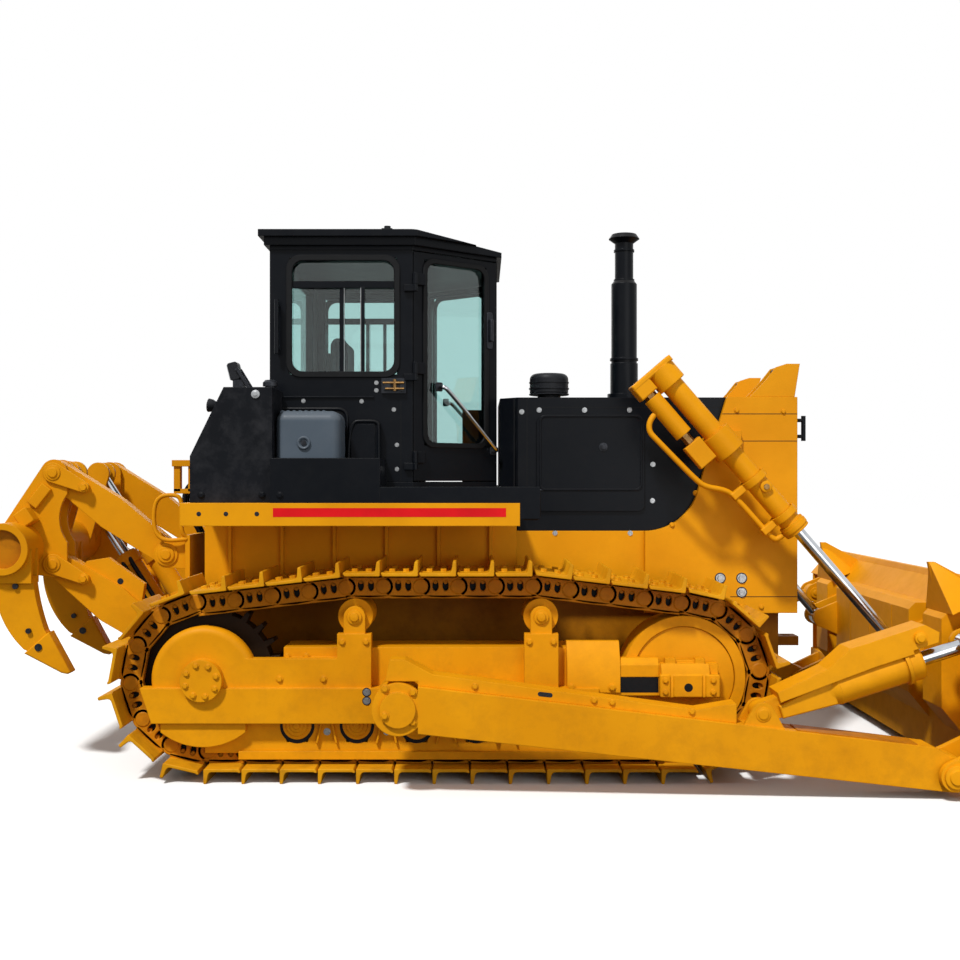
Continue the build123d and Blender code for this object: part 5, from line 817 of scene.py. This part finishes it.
with making("door_catch_rods", union_brass, mirror=True) as bm:
    rod(bm, (-0.605, -0.880, 2.275), (-0.480, -0.880, 2.275), 0.008, sides=12)
    rod(bm, (-0.590, -0.882, 2.240), (-0.480, -0.882, 2.240), 0.007, sides=12)
    rod(bm, (-0.535, -0.878, 2.228), (-0.535, -0.878, 2.296), 0.011, sides=12)
with making("roof_socket", moulded_abs) as bm:
    box(bm, (-0.625, -0.735, 3.179), (-0.560, -0.665, 3.222))
    rod(bm, (-0.592, -0.700, 3.222), (-0.592, -0.700, 3.240), 0.020, sides=16)

# Doors: rounded window seals, chrome grab bars, lock handles; each rides with its door
door_plane = Matrix.Translation((-0.429, -0.850, 0)) @ Matrix.Rotation(atan2(0.400, 0.504), 4, "Z")
for hand in ("right", "left"):
    seal, bar, lock = bmesh.new(), bmesh.new(), bmesh.new()
    plate(seal, [round_box(0.072, 0.571, 1.894, 3.033, 0.075), round_box(0.103, 0.540, 1.925, 3.002, 0.060)],
          -0.010, 0.004, 0.003, spin=door_plane)
    tube(bar, [door_plane @ Vector(p) for p in (
        (0.190, 0.0, 2.262), (0.190, -0.050, 2.262), (0.225, -0.055, 2.240), (0.580, -0.055, 1.905),
        (0.610, -0.050, 1.880), (0.610, 0.0, 1.880))], 0.013)
    for outline, y0, y1, edge in (
        ((0.555, 0.600, 2.515, 2.745, 0.015), -0.016, 0.002, 0.003),
        ((0.566, 0.589, 2.560, 2.700, 0.010), -0.040, -0.014, 0.004),
        ((0.165, 0.215, 2.235, 2.290, 0.010), -0.010, 0.002, 0.002),
        ((0.585, 0.635, 1.855, 1.905, 0.010), -0.010, 0.002, 0.002),
    ):
        plate(lock, [round_box(*outline)], y0, y1, edge, spin=door_plane)
    for bm, label, finish in ((seal, "seal", rubber), (bar, "grab_bar", hard_chrome), (lock, "lock", black_oxide)):
        if hand == "left":
            bmesh.ops.scale(bm, vec=(1, -1, 1), verts=bm.verts)
        settle(f"door_{label}_{hand}", bm, finish, f"door_{hand}_body")

# Hood and guard: strip bolts, panel frames, latches, seams
hood_side = "hood engine_side_panels lower_side_panels radiator_guard"
hood_spots = [(0.228, 2.122), (0.336, 2.133), (0.617, 2.133), (0.895, 2.133), (0.434, 1.372), (0.899, 1.372),
              (1.040, 1.797), (1.037, 1.572)]
shield_spots = [(1.549, 2.127), (1.836, 2.120), (1.304, 1.620), (1.152, 1.423), (1.579, 0.918), (1.701, 0.918)]
big_spots = [(1.448, 1.096), (1.580, 1.096), (1.580, 1.009)]
for name, spots, radius, finish in (("hood_bolts", hood_spots, 0.011, zinc),
                                    ("guard_bolts", shield_spots, 0.012, golden_enamel),
                                    ("guard_big_bolts", big_spots, 0.019, zinc)):
    bolts(name, side_bolts(hood_side, spots, radius), finish, both=True)
with making("guard_bolt_rings", black_oxide, mirror=True) as bm:
    for x, z in big_spots:
        button(bm, on_side(hood_side, x, z), [(-0.001, 0.034), (0.0012, 0.034)], 0.0016, sides=24)
with making("side_panel_ridges", black_oxide, mirror=True) as bm:
    rod(bm, (0.331, -0.575, 1.638), (0.882, -0.575, 1.638), 0.006, sides=10)
with making("side_panel_frames", night_enamel, mirror=True) as bm:
    plate(bm, [round_box(0.335, 0.972, 1.633, 2.102, 0.035), round_box(0.349, 0.958, 1.647, 2.088, 0.028)],
          -0.581, -0.573, 0.002)
with making("side_panel_latches", black_oxide, mirror=True) as bm:
    button(bm, (0.731, -0.574, 1.904), [(0, 0.026), (0.006, 0.026), (0.008, 0.016), (0.014, 0.014)], 0.015)
with making("hood_seams", rubber, mirror=True) as bm:
    for x in (0.181, 0.261):
        box(bm, (x - 0.002, -0.5610, 1.40), (x + 0.002, -0.5590, 2.205))
    box(bm, (0.30, -0.5610, 2.148), (1.47, -0.5590, 2.152))
    for x, z in ((1.46, 2.105), (1.39, 1.938), (1.51, 0.980)):
        box(bm, (x, -0.6010, z), (1.922, -0.5990, z + 0.004))
with making("stack_sleeves", night_enamel) as bm:
    for z, inner, outer, shoulder, end in (
        (2.268, 0.0855, 0.0915, 0.205, 0.207), (2.492, 0.0855, 0.0935, 0.016, 0.016),
        (3.002, 0.0615, 0.0690, 0.030, 0.030), (3.215, 0.0615, 0.0680, 0.014, 0.014),
    ):
        lathe(bm, [(0, inner), (0, outer), (shoulder, outer), (end, inner)], (0.928, 0, z), UPWARD, 40)
with making("precleaner_rings", moulded_abs) as bm:
    for z, r in ((2.262, 0.1325), (2.300, 0.1335), (2.340, 0.1325)):
        lathe(bm, [(0, r - 0.006), (0.002, r), (0.010, r), (0.012, r - 0.006)], (0.429, 0, z), UPWARD, 40)
with making("head_lamp_lenses", lens_glass) as bm:
    for y in (-0.515, 0.515):
        x = touch("head_lamps", (RAY_START, y, 2.330), (-1, 0, 0))[0]
        box(bm, (x - 0.002, y - 0.050, 2.285), (x + 0.003, y + 0.050, 2.375))


def beside(origin, way, across):
    """A function that gives points beside a cylinder: along its axis, across it, and at a Y."""
    def at(along, off, y):
        place = Vector(origin) + along * way + off * across
        return (place.x, y, place.z)
    return at


def flat(at, corners):
    """Outline in the XZ plane of (along, across) corners beside a cylinder."""
    return [at(a, b, 0)[::2] for a, b in corners]


# Lift cylinders: ring clamps, valve boxes, pipes and unions; they swing with the barrels
LIFT_Y, PIPE_Y = -0.850, -0.880
lift_way = Vector((0.6523, 0, -0.7579))
lift_at = beside((1.410, 0, 1.920), lift_way, Vector((-0.7579, 0, -0.6523)))
with making("lift_barrel_fittings", golden_enamel, "lift_barrel_body", mirror=True) as bm:
    collar(bm, lift_at(-0.075, 0, LIFT_Y), lift_way, 0.078, 0.096, 0.150)
    for a0, a1, b0, y0, y1, edge in ((-0.606, -0.570, -0.090, -0.930, -0.772, 0.008),
                                     (-0.580, -0.500, 0.090, -0.930, -0.772, 0.006),
                                     (-0.125, 0.030, 0.090, -0.935, -0.850, 0.004)):
        plate(bm, [flat(lift_at, ((a0, b0), (a1, b0), (a1, 0.205), (a0, 0.205)))], y0, y1, edge)
    lathe(bm, [(0, 0.060), (0, 0.092), (0.120, 0.092), (0.124, 0.088), (0.124, 0.060)], lift_at(-0.580, 0, LIFT_Y),
          lift_way, hollow=True)
    rod(bm, lift_at(-0.478, 0.146, PIPE_Y), lift_at(-0.190, 0.146, PIPE_Y), 0.054, sides=32)
    tube(bm, [lift_at(a, b, y) for a, b, y in (
        (-0.392, 0.190, -0.880), (-0.390, 0.240, -0.890), (-0.340, 0.292, -0.890), (-0.270, 0.288, -0.890),
        (0.060, 0.268, -0.890), (0.130, 0.250, -0.888), (0.210, 0.180, -0.870), (0.280, 0.150, -0.855),
        (0.580, 0.146, -0.850), (0.640, 0.140, -0.850), (0.650, 0.110, -0.850), (0.650, 0.088, -0.850))], 0.017)
    for along in (0.285, 0.560):
        a0, a1 = along - 0.022, along + 0.022
        collar(bm, lift_at(a0, 0, LIFT_Y), lift_way, 0.070, 0.083, 0.044)
        plate(bm, [flat(lift_at, ((a0, 0.074), (a1, 0.074), (a1, 0.168), (a0, 0.168)))], -0.880, -0.820, 0.004)
    lathe(bm, [(0, 0.034), (0.022, 0.034), (0.026, 0.020)], lift_at(0.355, -0.016, -0.910), OUTWARD, 20)
    collar(bm, lift_at(0.640, 0, LIFT_Y), lift_way, 0.074, 0.083, 0.028)
with making("lift_unions", union_brass, "lift_barrel_body", mirror=True) as bm:
    rod(bm, lift_at(-0.502, 0.146, PIPE_Y), lift_at(-0.474, 0.146, PIPE_Y), 0.040, sides=6)
    rod(bm, lift_at(-0.192, 0.146, PIPE_Y), lift_at(-0.122, 0.146, PIPE_Y), 0.030, sides=6)
    rod(bm, lift_at(0.355, -0.016, -0.936), lift_at(0.355, -0.016, -0.942), 0.018, sides=6)

# Tilt cylinder: conical neck, box-section foot, gland ring and bolts; they turn with its barrel
TILT_Y = -1.520
tilt_way = Vector((0.9510, 0, 0.3094))
tilt_at = beside((1.478, 0, 0.452), tilt_way, Vector((-0.3094, 0, 0.9510)))
with making("tilt_barrel_fittings", golden_enamel, "tilt_barrel_body") as bm:
    lathe(bm, [(0, 0.0955), (0.0, 0.110), (0.022, 0.110), (0.024, 0.101), (0.085, 0.101), (0.092, 0.094),
               (0.096, 0.043)], tilt_at(0.805, 0, TILT_Y), tilt_way, 40)
    lathe(bm, [(0, 0.064), (0.085, 0.0975), (0.090, 0.0955)], tilt_at(0.345, 0, TILT_Y), tilt_way, 40)
    plate(bm, [flat(tilt_at, ((0.095, -0.056), (0.400, -0.074), (0.400, 0.062), (0.130, 0.020), (0.095, 0.012)))],
          -1.598, -1.442, 0.006)
    button(bm, on_side("tilt_barrel", 2.304, 0.862), [(0, 0.032), (0.018, 0.032), (0.020, 0.022), (0.026, 0.020)],
           0.027, sides=24)
gland_bolts = [(tilt_at(0.901, 0.074 * sin(k * pi / 3), TILT_Y + 0.074 * cos(k * pi / 3)), tuple(tilt_way), 0.009)
               for k in range(6)]
bolts("tilt_gland_bolts", gland_bolts, zinc, "tilt_barrel_body")

# Blade: folded gussets over the back plate's ledge, pin heads on the arm's ears, seams of the back plate
with making("blade_fins", golden_enamel, "blade_body") as bm:
    for y, out in ((-1.10, -0.24), (1.10, 0.24)):
        bmesh.ops.convex_hull(bm, input=[bm.verts.new((x, y + share * out, z)) for x, share, z in (
            (2.590, 1, 0.950), (2.590, -0.7, 0.950), (2.546, 0, 1.228), (2.572, 0.06, 1.229), (2.740, 0.75, 1.005),
            (2.740, -0.45, 1.005), (2.800, 0.3, 1.080))])
with making("blade_pin_heads", golden_enamel, "blade_body") as bm:
    for side in (-1, 1):
        for y, way in ((1.674, side), (1.366, -side)):
            button(bm, (2.477, side * y, 0.135), [(-0.002, 0.062), (0.012, 0.062), (0.015, 0.040), (0.022, 0.038)],
                   0.023, (0, way, 0))
        for y, way in ((1.615, side), (1.425, -side)):
            button(bm, (2.600, side * y, 0.817), [(-0.002, 0.042), (0.010, 0.042), (0.012, 0.020), (0.016, 0.018)],
                   0.017, (0, way, 0))
with making("blade_back_welds", golden_enamel, "blade_body") as bm:
    for y in (-0.42, 0.0, 0.42):
        box(bm, (2.5575, y - 0.010, 0.43), (2.5615, y + 0.010, 0.915))
edge_bolts = [((2.988, -1.78 + 0.1869 * k, 0.075), (0.972, 0, 0.2315), 0.016) for k in range(20)]
bolts("cutting_edge_bolts", edge_bolts, zinc, "blade_body")

# Ripper: retainer straps on the pins, rings, dark discs painted as the shade in pin holes, boots on the shanks, pipes
# on the cylinders
for label, body, z in (("upper", "ripper_link_body", 1.745), ("lower", "ripper_arm_body", 1.185)):
    x, x_low, z_low = -2.641, -2.641 + 0.188, z - 0.090
    with making(label + "_pin_straps", golden_enamel, body) as bm:
        for side in (-1, 1):
            plate(bm, [hull([(x, z, 0.062), (x_low, z_low, 0.034)])], side * 0.634, side * 0.650)
            rod(bm, (x_low, side * 0.595, z_low), (x_low, side * 0.640, z_low), 0.026, sides=16)
            button(bm, (x, side * 0.649, z), [(0, 0.046), (0.006, 0.046), (0.008, 0.030), (0.014, 0.028)], 0.015,
                   (0, side, 0))
    bolts(label + "_strap_bolts", [((-2.453, side * 0.651, z_low), (0, side, 0), 0.022) for side in (-1, 1)],
          golden_enamel, body)
with making("ripper_pin_rings_and_stays", golden_enamel) as bm:
    for side in (-1, 1):
        for z in (1.244, 0.684):
            button(bm, on_side("ripper_bracket", -1.951, z, side), [
                (-0.001, 0.070), (0.008, 0.070), (0.010, 0.052), (0.018, 0.050), (0.020, 0.030), (0.026, 0.028),
            ], 0.027, (0, side, 0))
        tube(bm, [(x, side * y, z) for x, y, z in (
            (-1.820, 0.652, 1.340), (-1.850, 0.668, 1.335), (-1.960, 0.668, 1.330), (-2.015, 0.668, 1.385),
            (-2.020, 0.668, 1.520), (-1.990, 0.668, 1.600), (-1.900, 0.668, 1.612), (-1.850, 0.668, 1.590),
            (-1.850, 0.668, 1.480), (-1.850, 0.668, 1.370), (-1.826, 0.650, 1.352))], 0.013)
        for x0, x1, y0, y1, z0, z1 in (
            (-1.960, -1.672, 0.40, 0.47, 1.785, 1.825), (-1.950, -1.910, 0.41, 0.46, 1.630, 1.790),
            (-1.860, -1.825, 0.41, 0.46, 1.630, 1.790), (-1.950, -1.825, 0.41, 0.46, 1.615, 1.645),
        ):
            box(bm, (x0, side * y0, z0), (x1, side * y1, z1))
bolts("bracket_bolts", [(touch("ripper_bracket", (-RAY_START, y, z), (1, 0, 0)), (-1, 0, 0), 0.018)
                        for y in (-0.40, 0.40) for z in (0.86, 1.02, 1.10)], golden_enamel)
SHANKS_Y = (-0.8, 0.0, 0.8)
with making("shank_boots", golden_enamel, "ripper_beam_body") as bm:
    for y in SHANKS_Y:
        plate(bm, [[(-2.742, 0.668), (-2.596, 0.796), (-2.466, 0.556), (-2.482, 0.545), (-2.520, 0.552)]],
              y - 0.050, y + 0.050, 0.006)
with making("shank_pins", black_oxide, "ripper_beam_body") as bm:
    for y in SHANKS_Y:
        for x, z, r in ((-2.793, 1.068, 0.017), (-2.716, 0.802, 0.016), (-2.655, 0.705, 0.022)):
            rod(bm, (x, y - 0.056, z), (x, y + 0.056, z), r, sides=16)
with making("ripper_beam_lugs", golden_enamel, "ripper_beam_body") as bm:
    lug = Matrix.Translation((-2.790, 0, 1.475)) @ Matrix.Rotation(radians(-35), 4, "Y")
    rest = Matrix.Translation((-2.730, 0, 1.620)) @ Matrix.Rotation(radians(-52), 4, "Y")
    for side in (-1, 1):
        plate(bm, [round_box(-0.045, 0.045, -0.055, 0.045, 0.010)], side * 0.640, side * 0.740, 0.005, spin=lug)
        plate(bm, [round_box(-0.085, 0.065, -0.050, 0.020, 0.006)], side * 0.628, side * 0.655, 0.004, spin=rest)
# Disc at the bottom of each beam tube's mouth, in the links' darker enamel: painted shade of the tube's inside
with making("ripper_tube_inside", chain_enamel, "ripper_beam_body", "yellow_paint") as bm:
    for side in (-1, 1):
        y = on_side("ripper_beam", -2.855, 1.289, side)[1]
        button(bm, (-2.855, y, 1.289), [(0, 0.128), (0.002, 0.128)], 0.003, (0, side, 0))
# Dark discs on the arm: painted shade of its pin holes
with making("ripper_arm_holes", black_oxide, "ripper_arm_body") as bm:
    for side in (-1, 1):
        y = on_side("ripper_arm", -2.250, 1.075, side)[1]
        button(bm, (-2.250, y, 1.075), [(0, 0.019), (0.0015, 0.019)], 0.002, (0, side, 0), 18)
ripper_way = Vector((-0.690, 0, 1.061)).normalized()
ripper_at = beside((-1.951, 0, 0.684), ripper_way, Vector((-ripper_way.z, 0, ripper_way.x)))
with making("ripper_gland_rings", golden_enamel, "ripper_barrel_body") as bm:
    for side in (-1, 1):
        lathe(bm, [(0, 0.068), (0.0, 0.080), (0.075, 0.080), (0.078, 0.068)], ripper_at(0.565, 0, side * 0.300),
              ripper_way, hollow=True)
with making("ripper_hoses", rubber, "ripper_barrel_body") as bm:
    for side in (-1, 1):
        for off, y in ((0.020, 0.385), (-0.030, 0.378)):
            tube(bm, [ripper_at(along, off, side * out) for along, out in (
                (0.150, 0.354), (0.170, y), (0.260, y), (0.480, y), (0.585, y), (0.610, 0.354))], 0.014)
with making("ripper_deck_hoses", rubber) as bm:
    for y in (-0.30, -0.24, 0.24, 0.30):
        tube(bm, [(x, y, z) for x, z in (
            (-1.672, 1.690), (-1.740, 1.700), (-1.880, 1.690), (-1.930, 1.590), (-1.900, 1.470), (-1.842, 1.410),
            (-1.822, 1.360))], 0.017)

# Seat pads: the block starts this far inside its solid, swells by no more than the limit, and stays in the room
PAD_INSET = 0.014
PAD_ROOM = 0.013
SWELL_LIMIT = 0.022
PAD_FRAMES = 20


def stuffed(name, node):
    """A padded cover over a seat solid: stuffed cloth, swollen by its own pressure from a slightly smaller block."""
    points = [nodes[node].matrix_world @ v.co for v in nodes[node].data.vertices]
    low = [min(p[k] for p in points) + PAD_INSET for k in range(3)]
    high = [max(p[k] for p in points) - PAD_INSET for k in range(3)]
    core = bmesh.new()
    box(core, low, high)
    bmesh.ops.bevel(core, geom=core.edges[:], offset=0.030, segments=4, profile=0.5, affect="EDGES")
    pad = pattern(name, core)
    scene.collection.objects.link(pad)
    skin = pad.modifiers.new("skin", "REMESH")
    skin.mode = "VOXEL"
    skin.voxel_size = 0.006
    pad.data = shown(pad)
    pad.modifiers.clear()
    before = [v.co.copy() for v in pad.data.vertices]
    cloth = pad.modifiers.new("stuffing", "CLOTH")
    cloth.settings.use_pressure = True
    cloth.settings.uniform_pressure_force = 4.0
    cloth.settings.effector_weights.gravity = 0.0
    for number in range(1, PAD_FRAMES + 1):
        scene.frame_set(number)
    swollen = shown(pad)
    pad.modifiers.clear()
    for vertex, old in zip(swollen.vertices, before):
        move = vertex.co - old
        if move.length > SWELL_LIMIT:
            vertex.co = old + move * (SWELL_LIMIT / move.length)
        for k in range(3):
            vertex.co[k] = min(max(vertex.co[k], low[k] - PAD_ROOM), high[k] + PAD_ROOM)
    pad.data = swollen
    scene.frame_set(1)
    pad.data.materials.clear()
    pad.data.materials.append(seat_cloth)
    pad.data.shade_smooth()
    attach(pad, "chassis")
    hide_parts(node)


stuffed("seat_cushion_pad", "seat_cushion")
stuffed("seat_back_pad", "seat_back")
